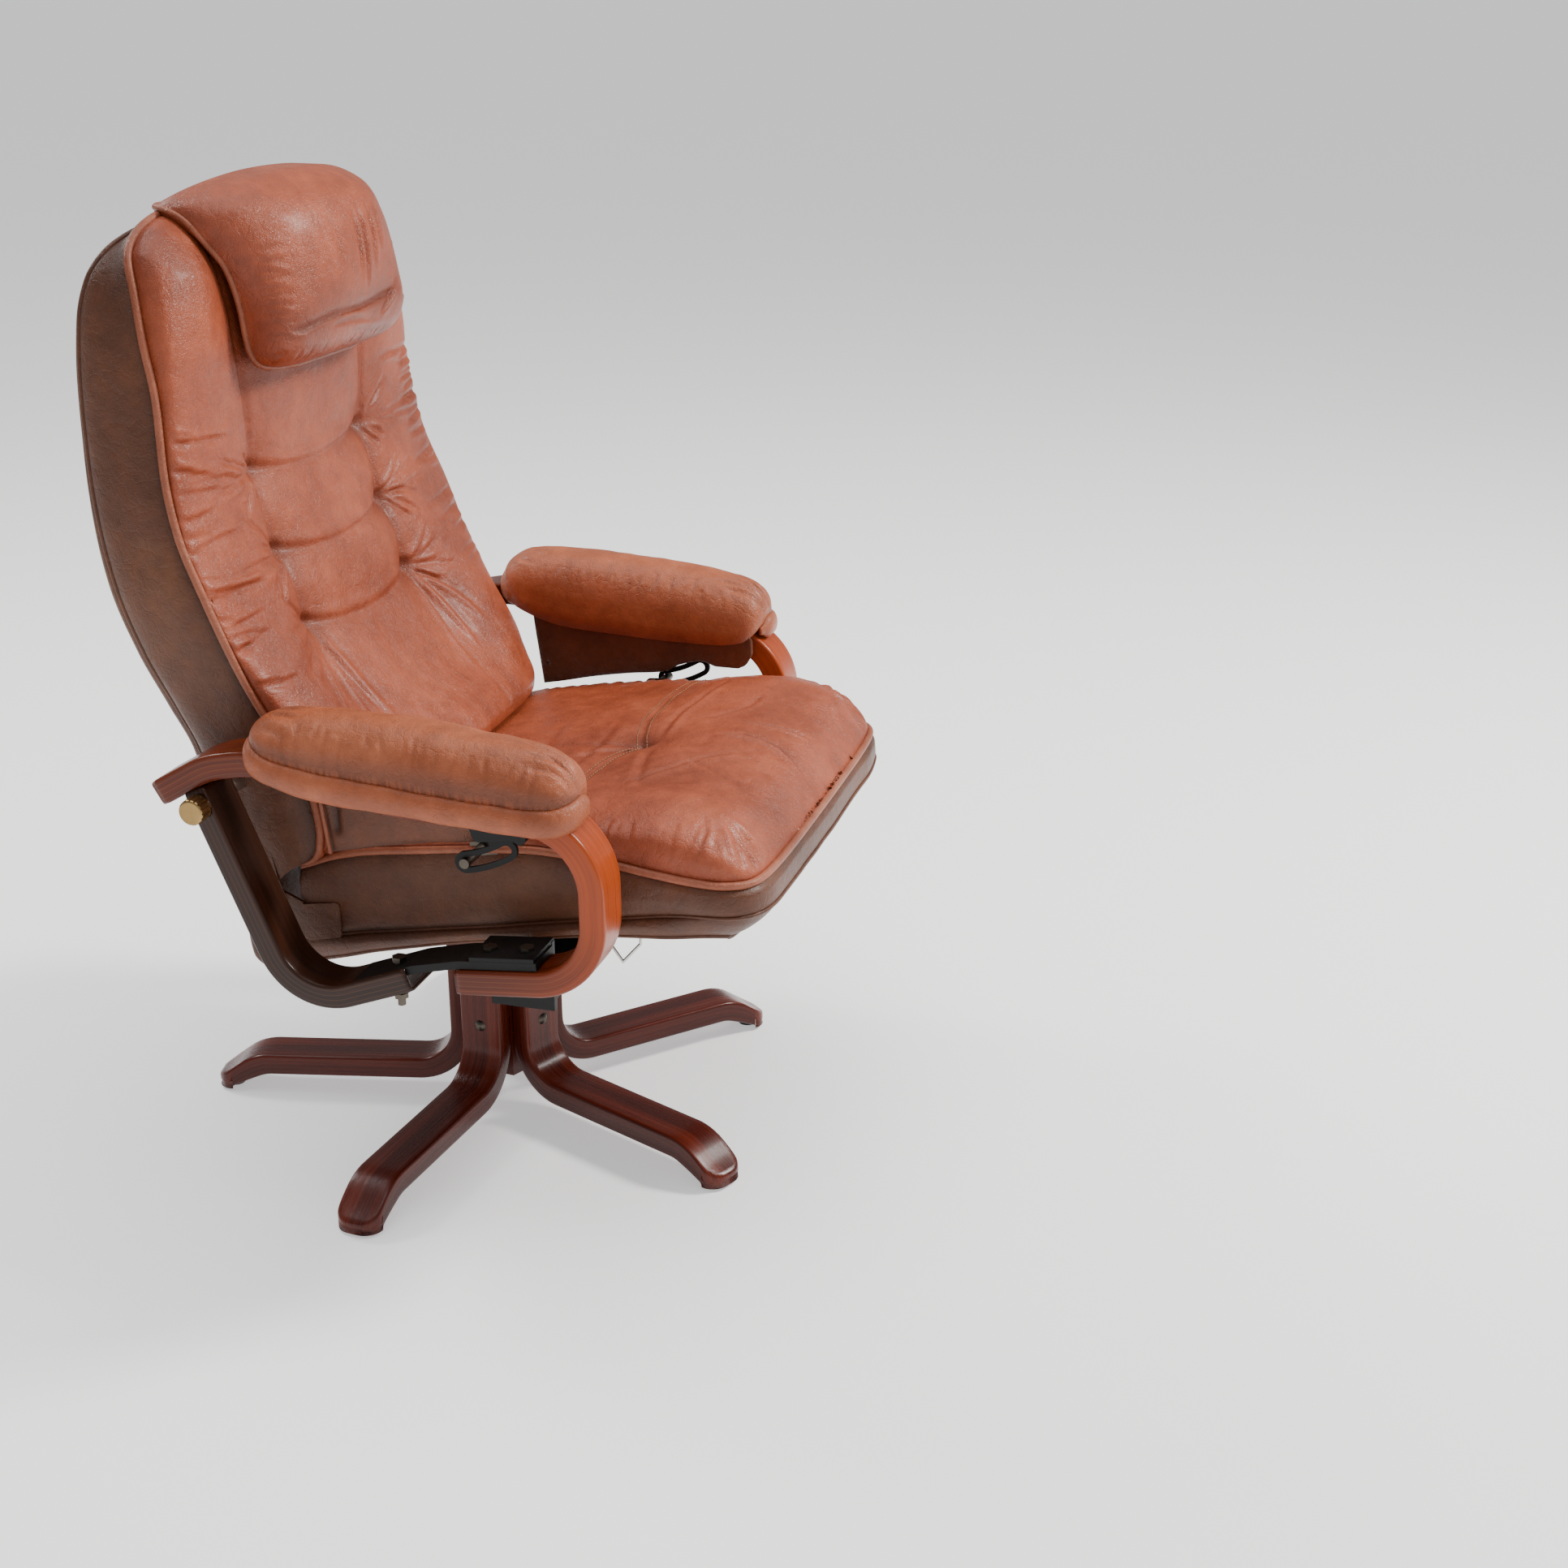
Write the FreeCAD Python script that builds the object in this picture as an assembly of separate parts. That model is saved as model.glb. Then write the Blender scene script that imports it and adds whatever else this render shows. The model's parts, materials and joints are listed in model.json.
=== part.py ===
"""Swivel recliner armchair: five-leg bentwood base, bentwood arms, leather seat and back.

Frame: +Z up, the chair faces -Y, and +X is the sitter's left.  Side outlines are given
as (forward, up) pairs in millimetres, with forward counted from the swivel axis.
"""
import FreeCAD
import Part
import math
import os

V = FreeCAD.Vector

# ---------------------------------------------------------------- driving dimensions
AXIS_Y = 26.0              # the swivel axis stands this far behind the middle of the box
CLEAR = 0.3                # gap between soft bodies and what they hold

# base
LEG_COUNT = 5
LEG_FIRST_ANGLE = 48.15    # from straight ahead, towards the sitter's left
LEG_WIDTH = 50.0
LEG_THICK = 25.0
LEG_FACE_R = 60.0          # outer face of the upright
HUB_TOP = 250.0
GLIDE_THICK = 3.0
GLIDE_R = 11.0
TOE_TIP_R = 337.0

# swivel
SPINDLE_R = 18.0
RUNNING = 0.05
SOCKET_R = 25.0
SOCKET_BORE_R = 22.0
WASHER_THICK = 2.0
FLANGE_R = 45.0
FLANGE_THICK = 4.0

# side strips of bent wood
STRIP_X = 313.0            # middle of each strip
STRIP_WIDTH = 50.0
ARM_THICK = 26.0
REAR_THICK = 25.0
EDGE_ROUND = 3.5

# recline linkage, (forward, up)
PIVOT = (-158.0, 460.0)
HINGE = (-134.0, 337.0)
GUIDE_PIN = (99.0, 416.0)
RECLINE = 21.0             # degrees
PIN_R = 5.0
SLOT_PLAY = 0.4

# seat and back widths
SEAT_HALF = 258.0
BACK_LOW_HALF = 256.0
BRACKET_X = 262.0
BRACKET_THICK = 4.0

os.makedirs("parts", exist_ok=True)


# ---------------------------------------------------------------- outlines and solids
def at(point, x=0.0):
    """Place a (forward, up) pair in the chair's frame."""
    return V(x, AXIS_Y - point[0], point[1])


def unit(a, b):
    length = math.hypot(b[0] - a[0], b[1] - a[1])
    return (b[0] - a[0]) / length, (b[1] - a[1]) / length


def corner_arc(a, b, c, radius):
    """Tangent points and middle of the arc that rounds corner b."""
    u = unit(b, a)
    w = unit(b, c)
    half = math.acos(max(-1.0, min(1.0, u[0] * w[0] + u[1] * w[1]))) / 2
    run = radius / math.tan(half)
    bisector = unit((0, 0), (u[0] + w[0], u[1] + w[1]))
    reach = radius / math.sin(half) - radius
    start = (b[0] + u[0] * run, b[1] + u[1] * run)
    end = (b[0] + w[0] * run, b[1] + w[1] * run)
    middle = (b[0] + bisector[0] * reach, b[1] + bisector[1] * reach)
    return start, middle, end


def path_edges(corners, radii, place):
    """Edges of an open path with rounded inner corners."""
    edges = []
    last = corners[0]
    for i in range(1, len(corners) - 1):
        if radii[i - 1] > 0:
            start, middle, end = corner_arc(corners[i - 1], corners[i], corners[i + 1], radii[i - 1])
            edges.append(Part.LineSegment(place(last), place(start)).toShape())
            edges.append(Part.Arc(place(start), place(middle), place(end)).toShape())
            last = end
        else:
            edges.append(Part.LineSegment(place(last), place(corners[i])).toShape())
            last = corners[i]
    edges.append(Part.LineSegment(place(last), place(corners[-1])).toShape())
    return edges


def offset(corners, distance):
    """The same path moved sideways, to the left of its direction."""
    normals = []
    for a, b in zip(corners, corners[1:]):
        d = unit(a, b)
        normals.append((-d[1], d[0]))
    moved = []
    for i, point in enumerate(corners):
        before = normals[max(i - 1, 0)]
        after = normals[min(i, len(normals) - 1)]
        scale = distance / (1 + before[0] * after[0] + before[1] * after[1])
        moved.append((point[0] + (before[0] + after[0]) * scale,
                      point[1] + (before[1] + after[1]) * scale))
    return moved


def side_radii(corners, radii, distance):
    """Corner radii of the path that offset() gives."""
    result = []
    for i, radius in enumerate(radii, start=1):
        d1 = unit(corners[i - 1], corners[i])
        d2 = unit(corners[i], corners[i + 1])
        left_turn = d1[0] * d2[1] - d1[1] * d2[0] > 0
        result.append(radius - distance if left_turn else radius + distance)
    return result


def band_face(corners, radii, thick, place):
    """A band of even thickness along a rounded path, as a flat face."""
    left = offset(corners, thick / 2)
    right = offset(corners, -thick / 2)
    edges = path_edges(left, side_radii(corners, radii, thick / 2), place)
    edges += path_edges(right, side_radii(corners, radii, -thick / 2), place)
    edges.append(Part.LineSegment(place(left[0]), place(right[0])).toShape())
    edges.append(Part.LineSegment(place(left[-1]), place(right[-1])).toShape())
    return Part.Face(Part.Wire(Part.__sortEdges__(edges)))


def band(corners, radii, thick, x_low, x_high):
    face = band_face(corners, radii, thick, lambda p: at(p, x_low))
    return face.extrude(V(x_high - x_low, 0, 0))


def closed_face(corners, radii, place):
    """A closed outline with rounded corners."""
    count = len(corners)
    edges = []
    arcs = []
    for i in range(count):
        a, b, c = corners[i - 1], corners[i], corners[(i + 1) % count]
        arcs.append(corner_arc(a, b, c, radii[i]) if radii[i] > 0 else (b, None, b))
    for i in range(count):
        start, middle, end = arcs[i]
        if middle:
            edges.append(Part.Arc(place(start), place(middle), place(end)).toShape())
        following = arcs[(i + 1) % count][0]
        if math.dist(end, following) > 1e-6:
            edges.append(Part.LineSegment(place(end), place(following)).toShape())
    return Part.Face(Part.Wire(Part.__sortEdges__(edges)))


def slab(corners, radius, x_low, x_high):
    """A side outline made solid between two planes of X."""
    radii = radius if isinstance(radius, list) else [radius] * len(corners)
    face = closed_face(corners, radii, lambda p: at(p, x_low))
    return face.extrude(V(x_high - x_low, 0, 0))


def front_slab(half_widths, radius):
    """A symmetric front outline, from (half width, up) pairs, made solid in depth."""
    corners = half_widths + [(-w, z) for w, z in reversed(half_widths)]
    face = closed_face(corners, [radius] * len(corners), lambda p: V(p[0], -1000, p[1]))
    return face.extrude(V(0, 2000, 0))


def plan_slab(corners, radii):
    """A plan outline, from (x, forward) pairs, made solid in height."""
    face = closed_face(corners, radii, lambda p: V(p[0], AXIS_Y - p[1], -50))
    return face.extrude(V(0, 0, 1200))


def box(x, forward, up):
    """A block from pairs of limits."""
    solid = Part.makeBox(x[1] - x[0], forward[1] - forward[0], up[1] - up[0])
    solid.translate(V(x[0], AXIS_Y - forward[1], up[0]))
    return solid


def tube_box(x, forward, up, wall, along):
    """A rectangular steel tube, open along one axis: 'x' or 'y'."""
    outer = box(x, forward, up)
    if along == "x":
        inner = box((x[0] - 1, x[1] + 1), (forward[0] + wall, forward[1] - wall),
                    (up[0] + wall, up[1] - wall))
    else:
        inner = box((x[0] + wall, x[1] - wall), (forward[0] - 1, forward[1] + 1),
                    (up[0] + wall, up[1] - wall))
    return outer.cut(inner)


def rod(radius, x_low, x_high, point):
    """A round rod along X at a (forward, up) place."""
    return Part.makeCylinder(radius, x_high - x_low, at(point, x_low), V(1, 0, 0))


def upright(radius, low, high, x, forward):
    """A round rod along Z."""
    return Part.makeCylinder(radius, high - low, at((forward, low), x), V(0, 0, 1))


def along_z(radius, low, high):
    """A round rod on the swivel axis."""
    return upright(radius, low, high, 0, 0)


def soften(solid, radius):
    """Round every edge of a bentwood piece."""
    return solid.makeFillet(radius, solid.Edges)


def mirror(shape):
    return shape.mirror(V(0, 0, 0), V(1, 0, 0))


def group(solids):
    return Part.makeCompound(solids)


def save(name, shape):
    shape.exportStep("parts/" + name + ".step")


def save_pair(name, shape):
    """Save a piece for the sitter's left, and its mirror image for the right."""
    save(name + "_left", shape)
    save(name + "_right", mirror(shape))


def recline_point(point, degrees):
    """Where a point of the back goes when it leans back."""
    angle = math.radians(degrees)
    forward = point[0] - PIVOT[0]
    up = point[1] - PIVOT[1]
    return (PIVOT[0] + forward * math.cos(angle) - up * math.sin(angle),
            PIVOT[1] + forward * math.sin(angle) + up * math.cos(angle))


# ---------------------------------------------------------------- base
LEG_MIDDLE_R = LEG_FACE_R - LEG_THICK / 2
CORE_APOTHEM = LEG_FACE_R - LEG_THICK
RUN_UP = 35.0              # middle height of a leg's level run
TOE_BEND_R = 281.0
TOE_END = (350.0, 7.8)     # middle line of the sloping toe, run on past the tip and cut back
TOE_CORNER = 15.0
LEG_PATH = [(LEG_MIDDLE_R, HUB_TOP), (LEG_MIDDLE_R, RUN_UP + 1), (TOE_BEND_R, RUN_UP), TOE_END]
LEG_RADII = [52.0, 50.0]
GLIDE_AT_R = 322.0
BOLT_HEIGHTS = (110.0, 215.0)
LEG_BOLT_R = 4.0
LEG_BOLT_HEAD_R = 8.0


def turned(shape, index):
    """Turn a piece made straight ahead to the place of leg number index."""
    copy = shape.copy()
    angle = LEG_FIRST_ANGLE + index * 360.0 / LEG_COUNT
    copy.rotate(V(0, AXIS_Y, 0), V(0, 0, 1), angle)
    return copy


def make_leg():
    half = LEG_WIDTH / 2
    leg = band(LEG_PATH, LEG_RADII, LEG_THICK, -half, half)
    tip = plan_slab([(-half, 0), (half, 0), (half, TOE_TIP_R), (-half, TOE_TIP_R)],
                    [0, 0, TOE_CORNER, TOE_CORNER])
    leg = leg.common(tip).common(box((-half, half), (0, TOE_TIP_R), (GLIDE_THICK, HUB_TOP)))
    leg = soften(leg, EDGE_ROUND)
    for height in BOLT_HEIGHTS:
        hole = Part.makeCylinder(LEG_BOLT_R, 100, at((CORE_APOTHEM - 5, height)), V(0, -1, 0))
        leg = leg.cut(hole)
    return leg


def make_leg_bolt(height):
    shank = Part.makeCylinder(LEG_BOLT_R, LEG_THICK + 8, at((CORE_APOTHEM - 8, height)), V(0, -1, 0))
    head = Part.makeSphere(LEG_BOLT_HEAD_R, at((LEG_FACE_R - LEG_BOLT_HEAD_R + 3.5, height)))
    cap = head.common(box((-20, 20), (LEG_FACE_R, LEG_FACE_R + 20), (0, HUB_TOP)))
    return shank.fuse(cap)


def make_glide():
    disc = upright(GLIDE_R, 0, GLIDE_THICK, 0, GLIDE_AT_R)
    return disc.makeFillet(0.8, [disc.Edges[-1]])


def make_core(bolts):
    rim = CORE_APOTHEM - 0.2
    corner_r = rim / math.cos(math.pi / LEG_COUNT)
    start = math.radians(LEG_FIRST_ANGLE + 180.0 / LEG_COUNT)
    corners = []
    for i in range(LEG_COUNT):
        angle = start + i * 2 * math.pi / LEG_COUNT
        corners.append(V(corner_r * math.sin(angle), AXIS_Y - corner_r * math.cos(angle), 40))
    block = Part.Face(Part.makePolygon(corners + corners[:1])).extrude(V(0, 0, HUB_TOP - 40))
    return block.cut(along_z(SOCKET_R + RUNNING, 0, 300)).cut(bolts)


leg = make_leg()
for number in range(LEG_COUNT):
    save("leg_%d" % (number + 1), turned(leg, number))
leg_bolts = group([turned(make_leg_bolt(h), n) for n in range(LEG_COUNT) for h in BOLT_HEIGHTS])
save("leg_bolts", leg_bolts)
save("foot_glides", group([turned(make_glide(), n) for n in range(LEG_COUNT)]))
save("hub_core", make_core(leg_bolts))

# swivel bearing
BUSH_FLOOR = 66.0
socket = along_z(SOCKET_R, 60, HUB_TOP).cut(along_z(SOCKET_BORE_R, 50, HUB_TOP + 1))
save("swivel_socket", socket)
bushes = [along_z(SOCKET_BORE_R - 0.02, low, high).cut(along_z(SPINDLE_R + RUNNING, low - 1, high + 1))
          for low, high in ((BUSH_FLOOR, 96.0), (216.0, HUB_TOP))]
save("swivel_bushes", group(bushes))
washer_low = HUB_TOP + 0.02
washer_high = HUB_TOP + WASHER_THICK
save("thrust_washer", along_z(FLANGE_R, washer_low, washer_high).cut(along_z(SPINDLE_R + RUNNING, 0, 300)))

# ---------------------------------------------------------------- turning steel frame
FLANGE_LOW = washer_high + 0.02
PLATE_LOW = FLANGE_LOW + FLANGE_THICK
PLATE_HIGH = PLATE_LOW + 6.0
BEAM_HIGH = PLATE_HIGH + 25.0
RAIL_X = (32.0, 57.0)
RAIL_REAR = -48.0
BEAM_FORWARD = (130.0, 170.0)
BRACKET_PLATE_X = (281.0, 287.0)
PLATE_BOLT_AT = 30.0
PLATE_BOLT_R = 3.5

spindle = along_z(SPINDLE_R, 58, FLANGE_LOW + 1).fuse(along_z(FLANGE_R, FLANGE_LOW, PLATE_LOW))
groove = along_z(SPINDLE_R + 1, 61.95, 65.05).cut(along_z(16.0, 60, 67))
spindle = spindle.cut(groove)
plate = box((-75, 75), (RAIL_REAR - 6, 66), (PLATE_LOW, PLATE_HIGH))
plate_bolts = []
for sx in (-1, 1):
    for sy in (-1, 1):
        x_at = sx * PLATE_BOLT_AT * 0.75
        bolt = upright(PLATE_BOLT_R, FLANGE_LOW + 0.5, PLATE_HIGH, x_at, sy * PLATE_BOLT_AT)
        plate_bolts.append(bolt.fuse(upright(6.0, PLATE_HIGH, PLATE_HIGH + 4, x_at, sy * PLATE_BOLT_AT)))
for bolt in plate_bolts:
    plate = plate.cut(bolt)
    spindle = spindle.cut(bolt)
save("swivel_spindle", spindle)
save("retaining_ring", along_z(21.0, 62, 65).cut(along_z(16.02, 60, 67)))
save("swivel_plate", plate)
rails = []
for low, high in (RAIL_X, (-RAIL_X[1], -RAIL_X[0])):
    rails.append(tube_box((low, high), (RAIL_REAR, BEAM_FORWARD[0]), (PLATE_HIGH, BEAM_HIGH), 2.5, "y"))
save("frame_rails", group(rails))
beam_x = (-BRACKET_PLATE_X[0], BRACKET_PLATE_X[0])
save("cross_beam", tube_box(beam_x, BEAM_FORWARD, (PLATE_HIGH, BEAM_HIGH), 2.5, "x"))

# ---------------------------------------------------------------- bentwood strips
STRIP_LOW = STRIP_X - STRIP_WIDTH / 2
STRIP_HIGH = STRIP_X + STRIP_WIDTH / 2
ARM_PATH = [(-203.0, 468.0), (-150.0, 499.0), (-95.0, 510.0), (40.0, 481.0),
            (238.0, 477.0), (239.0, 318.0), (99.0, 305.0)]
ARM_RADII = [90.0, 150.0, 220.0, 70.0, 66.0]
REAR_PATH = [(-176.0, 486.0), (-76.0, 254.0), (47.0, 300.7)]
REAR_RADII = [62.0]
BAR_THICK = 8.0
BAR_PATH = [(-12.0, 287.4), (52.0, 311.7), (100.0, 322.9), (180.0, 330.3)]
BAR_RADII = [60.0, 60.0]
BAR_X = (STRIP_LOW + 2, STRIP_HIGH - 4)

arm_strip = band(ARM_PATH, ARM_RADII, ARM_THICK, STRIP_LOW, STRIP_HIGH)
rear_strip = band(REAR_PATH, REAR_RADII, REAR_THICK, STRIP_LOW, STRIP_HIGH).cut(arm_strip)
arm_strip = soften(arm_strip, EDGE_ROUND)
long_edges = [e for e in rear_strip.Edges if e.BoundBox.XLength < 1 and e.Length > REAR_THICK + 8]
rear_strip = rear_strip.makeFillet(EDGE_ROUND, long_edges)
side_bar = band(BAR_PATH, BAR_RADII, BAR_THICK, BAR_X[0], BAR_X[1])
rear_strip = rear_strip.cut(side_bar)

# brackets that carry the bars on the cross beam
FLANGE_PATH = offset([(112.0, 324.1), (178.0, 330.2)], BAR_THICK / 2 + 2.1)
bracket_flange = band(FLANGE_PATH, [], 4.0, BRACKET_PLATE_X[0], BAR_X[1])
bracket_web = slab([(112, PLATE_HIGH), (178, PLATE_HIGH), (178, 336.0), (112, 329.9)], 0,
                   BRACKET_PLATE_X[0], BRACKET_PLATE_X[1])
beam_bracket = bracket_web.fuse(bracket_flange).removeSplitter()

# bolts through bar and strips, standing square to the floor
BOLT_R = 4.0


def frame_bolt(forward, low, high, head_at):
    """A bolt with a hexagon head on top and a nut below."""
    shank = upright(BOLT_R, low, head_at, STRIP_X, forward)
    head = Part.Face(hexagon(forward, head_at, 7.5)).extrude(V(0, 0, 5))
    nut = Part.Face(hexagon(forward, high, 7.5)).extrude(V(0, 0, 5))
    return shank.fuse(head).fuse(nut)


def hexagon(forward, up, reach):
    corners = []
    for i in range(7):
        angle = i * math.pi / 3
        corners.append(at((forward + reach * math.cos(angle), up), STRIP_X + reach * math.sin(angle)))
    return Part.makePolygon(corners)


BOLTS = [(28.0, 262.0, 270.0, 309.0), (125.0, 290.0, 288.5, 332.0), (163.0, 293.5, 292.0, 336.0)]
frame_bolts = [frame_bolt(*b) for b in BOLTS]
joint_screw = Part.makeCylinder(3.5, 26, at((-174.0, 496.0), STRIP_X), V(0, -0.39, -0.92))
joint_head = Part.makeCylinder(7.0, 5, at((-174.0, 496.0), STRIP_X), V(0, -0.39, -0.92))
frame_bolts.append(joint_screw.fuse(joint_head))
bolt_group = group(frame_bolts)
for solid in frame_bolts:
    arm_strip = arm_strip.cut(solid)
    rear_strip = rear_strip.cut(solid)
    side_bar = side_bar.cut(solid)
    beam_bracket = beam_bracket.cut(solid)

# ---------------------------------------------------------------- recline pivot
BACK_BRACKET = (BRACKET_X, BRACKET_X + BRACKET_THICK)
BOLT_HEAD_R = 9.0
KNOB_LOW = STRIP_HIGH + 3.2
KNOB_HIGH = KNOB_LOW + 17.0
KNOB_R = 13.0

pivot_bolt = rod(PIN_R, BRACKET_X - 1, KNOB_LOW + 12, PIVOT)
pivot_bolt = pivot_bolt.fuse(rod(BOLT_HEAD_R, BRACKET_X - 3.8, BRACKET_X - 0.3, PIVOT))
rear_strip = rear_strip.cut(rod(PIN_R, 200, 400, PIVOT))
spacer = rod(9.0, BACK_BRACKET[1] + 0.3, STRIP_LOW, PIVOT).cut(rod(PIN_R, 200, 400, PIVOT))
washer = rod(11.0, STRIP_HIGH, STRIP_HIGH + 2.5, PIVOT).cut(rod(PIN_R, 200, 400, PIVOT))


def make_knob():
    """A round clamping knob with a grooved rim, threaded on the pivot bolt."""
    body = rod(KNOB_R, KNOB_LOW, KNOB_HIGH, PIVOT)
    body = body.fuse(rod(8.5, KNOB_LOW - 0.4, KNOB_LOW, PIVOT))
    rim_edges = [e for e in body.Edges if abs(e.BoundBox.XMin - KNOB_HIGH) < 0.01]
    body = body.makeFillet(2.5, rim_edges)
    for i in range(16):
        angle = i * math.pi / 8
        place = (PIVOT[0] + (KNOB_R + 0.6) * math.cos(angle), PIVOT[1] + (KNOB_R + 0.6) * math.sin(angle))
        body = body.cut(rod(1.4, KNOB_LOW + 2, KNOB_HIGH + 1, place))
    return body.cut(rod(PIN_R + RUNNING, KNOB_LOW - 2, KNOB_LOW + 12.5, PIVOT))


save_pair("lock_knob", make_knob())
save("pivot_bolts", group([pivot_bolt, mirror(pivot_bolt)]))
save("pivot_washers", group([spacer, washer, mirror(spacer), mirror(washer)]))

# ---------------------------------------------------------------- guides for the seat pins
RAIL_PLATE_X = (298.0, 302.0)
guide_path = [(GUIDE_PIN[0] + recline_point(HINGE, a)[0] - HINGE[0],
               GUIDE_PIN[1] + recline_point(HINGE, a)[1] - HINGE[1]) for a in (0, RECLINE / 2, RECLINE)]


def guide_shape(reach, x_low, x_high):
    """The pin's path widened by reach on every side."""
    first, middle, last = guide_path
    centre = (GUIDE_PIN[0] + PIVOT[0] - HINGE[0], GUIDE_PIN[1] + PIVOT[1] - HINGE[1])
    rings = []
    for change in (reach, -reach):
        ring = []
        for point in guide_path:
            direction = unit(centre, point)
            ring.append((point[0] + direction[0] * change, point[1] + direction[1] * change))
        rings.append(ring)
    outer, inner = rings
    edges = []
    for ring in rings:
        edges.append(Part.Arc(at(ring[0], x_low), at(ring[1], x_low), at(ring[2], x_low)).toShape())
    edges.append(Part.LineSegment(at(outer[0], x_low), at(inner[0], x_low)).toShape())
    edges.append(Part.LineSegment(at(outer[2], x_low), at(inner[2], x_low)).toShape())
    middle_part = Part.Face(Part.Wire(Part.__sortEdges__(edges))).extrude(V(x_high - x_low, 0, 0))
    return middle_part.fuse(rod(reach, x_low, x_high, first)).fuse(rod(reach, x_low, x_high, last))


slot = guide_shape(PIN_R + SLOT_PLAY, 280, 320)
guide_rail = guide_shape(11.0, RAIL_PLATE_X[0], RAIL_PLATE_X[1])
block_outline = [(112.0, 441.0), (150.0, 447.0), (164.0, 440.0), (166.0, 466.0), (104.0, 467.2)]
guide_block = slab(block_outline, [6, 6, 6, 0, 0], 292.0, 310.0)
tongue = slab([(124, 430), (148, 440), (150, 452), (124, 448)], 0, RAIL_PLATE_X[0], RAIL_PLATE_X[1])
guide_rail = guide_rail.fuse(tongue).cut(slot).removeSplitter()
guide_block = guide_block.cut(guide_rail).cut(slot).cut(arm_strip)

# ---------------------------------------------------------------- arm pads
PAD_X = (265.0, 362.0)
BOARD_X = (277.0, 349.0)
BOARD_THICK = 8.0
BOARD_LINE = offset([(-80.0, 506.8), (40.0, 481.0), (196.0, 477.85)], ARM_THICK / 2 + BOARD_THICK / 2)
arm_board = band(BOARD_LINE, [220.0 - 17.0], BOARD_THICK, BOARD_X[0], BOARD_X[1])
PAD_SIDE = [(-94.0, 526.0), (-97.0, 552.0), (-20.0, 562.0), (60.0, 556.0), (140.0, 546.0),
            (205.0, 528.0), (231.0, 512.0), (226.0, 494.0), (40.0, 496.0), (-60.0, 518.0)]
PAD_ROUND = [6.0, 14.0, 60.0, 60.0, 60.0, 30.0, 8.0, 6.0, 60.0, 10.0]
pad_plan = plan_slab([(PAD_X[0], -100), (PAD_X[1], -100), (PAD_X[1], 232), (PAD_X[0], 232)], [30, 30, 42, 42])
arm_pad = slab(PAD_SIDE, PAD_ROUND, PAD_X[0], PAD_X[1]).common(pad_plan)
arm_pad = arm_pad.cut(arm_board).cut(arm_strip)
FLAP_X = (275.0, 286.0)
FLAP_SIDE = [(-65.0, 403.0), (60.0, 425.0), (104.0, 430.5), (122.0, 441.0), (150.0, 447.0), (168.0, 441.5),
             (206.0, 441.0), (214.0, 456.0), (202.0, 488.0), (40.0, 490.0), (-64.0, 511.0)]
arm_flap = slab(FLAP_SIDE, [6.0, 0, 0, 0, 0, 0, 6.0, 0, 0, 0, 0], FLAP_X[0], FLAP_X[1])
arm_flap = arm_flap.cut(arm_pad).cut(arm_board)
pad_screws = []
for forward, up in ((-50.0, 500.4), (60.0, 480.6), (165.0, 478.5)):
    screw = upright(3.0, up - ARM_THICK / 2 - 1, up + ARM_THICK / 2 + 5, STRIP_X, forward)
    head = upright(6.0, up - ARM_THICK / 2 - 3, up - ARM_THICK / 2 + 1, STRIP_X, forward)
    pad_screws.append(screw.fuse(head))
for solid in pad_screws:
    arm_strip = arm_strip.cut(solid)
    arm_board = arm_board.cut(solid)
    guide_block = guide_block.cut(solid)

save_pair("arm_strip", arm_strip)
save_pair("rear_strip", rear_strip)
save_pair("side_bar", side_bar)
save_pair("beam_bracket", beam_bracket)
save_pair("guide_rail", guide_rail)
save_pair("guide_block", guide_block)
save("arm_boards", group([arm_board, mirror(arm_board)]))
save_pair("arm_pad", arm_pad)
save_pair("arm_flap", arm_flap)
save("frame_bolts", group([bolt_group, mirror(bolt_group)] + plate_bolts))
save("pad_screws", group(pad_screws + [mirror(s) for s in pad_screws]))

# ---------------------------------------------------------------- backrest
PIPING = [(-80.0, 408.0), (-78.0, 425.0), (-82.0, 445.0), (-91.0, 468.0), (-106.0, 500.0), (-122.0, 530.0),
          (-137.0, 566.0), (-150.0, 600.0), (-168.0, 647.0), (-192.0, 708.0), (-203.0, 759.0),
          (-210.0, 834.0), (-221.0, 885.0), (-232.0, 930.0), (-241.0, 963.0)]
CUSHION_FRONT = [(-224.0, 994.0), (-203.0, 952.0), (-192.0, 885.0), (-188.0, 804.0), (-180.0, 712.0),
                 (-157.0, 640.0), (-126.0, 564.0), (-103.0, 530.0), (-79.0, 500.0), (-45.0, 468.0),
                 (-21.0, 446.0), (-14.5, 430.0), (-21.0, 421.0), (-36.0, 417.5)]
SHELL_REAR = [(-234.0, 1000.0), (-262.0, 978.0), (-290.0, 915.0), (-301.0, 800.0), (-292.0, 660.0),
              (-245.0, 525.0), (-206.0, 430.0), (-186.0, 303.0), (-186.0, 250.0), (-176.0, 239.0),
              (-143.0, 240.0), (-140.0, 340.0), (-118.0, 354.0), (-116.0, 398.0), (-98.0, 404.0)]
BACK_FRONT = [(234.0, 236.0), (240.0, 300.0), (254.0, 400.0), (BACK_LOW_HALF, 505.0), (276.0, 570.0),
              (276.0, 640.0), (264.0, 760.0), (258.0, 870.0), (246.0, 935.0), (212.0, 984.0), (150.0, 1003.0)]
BACK_PLAN = [(-300, -400), (300, -400), (300, -85), (253, -70), (213, -42), (126, -18),
             (-126, -18), (-213, -42), (-253, -70), (-300, -85)]
back_outline = front_slab(BACK_FRONT, 20.0)
back_plan = plan_slab(BACK_PLAN, [0] * len(BACK_PLAN))
back_cushion = slab(PIPING + CUSHION_FRONT, 0, -300, 300).common(back_outline).common(back_plan)
shell_side = [(f - CLEAR, z) for f, z in PIPING] + SHELL_REAR
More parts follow.
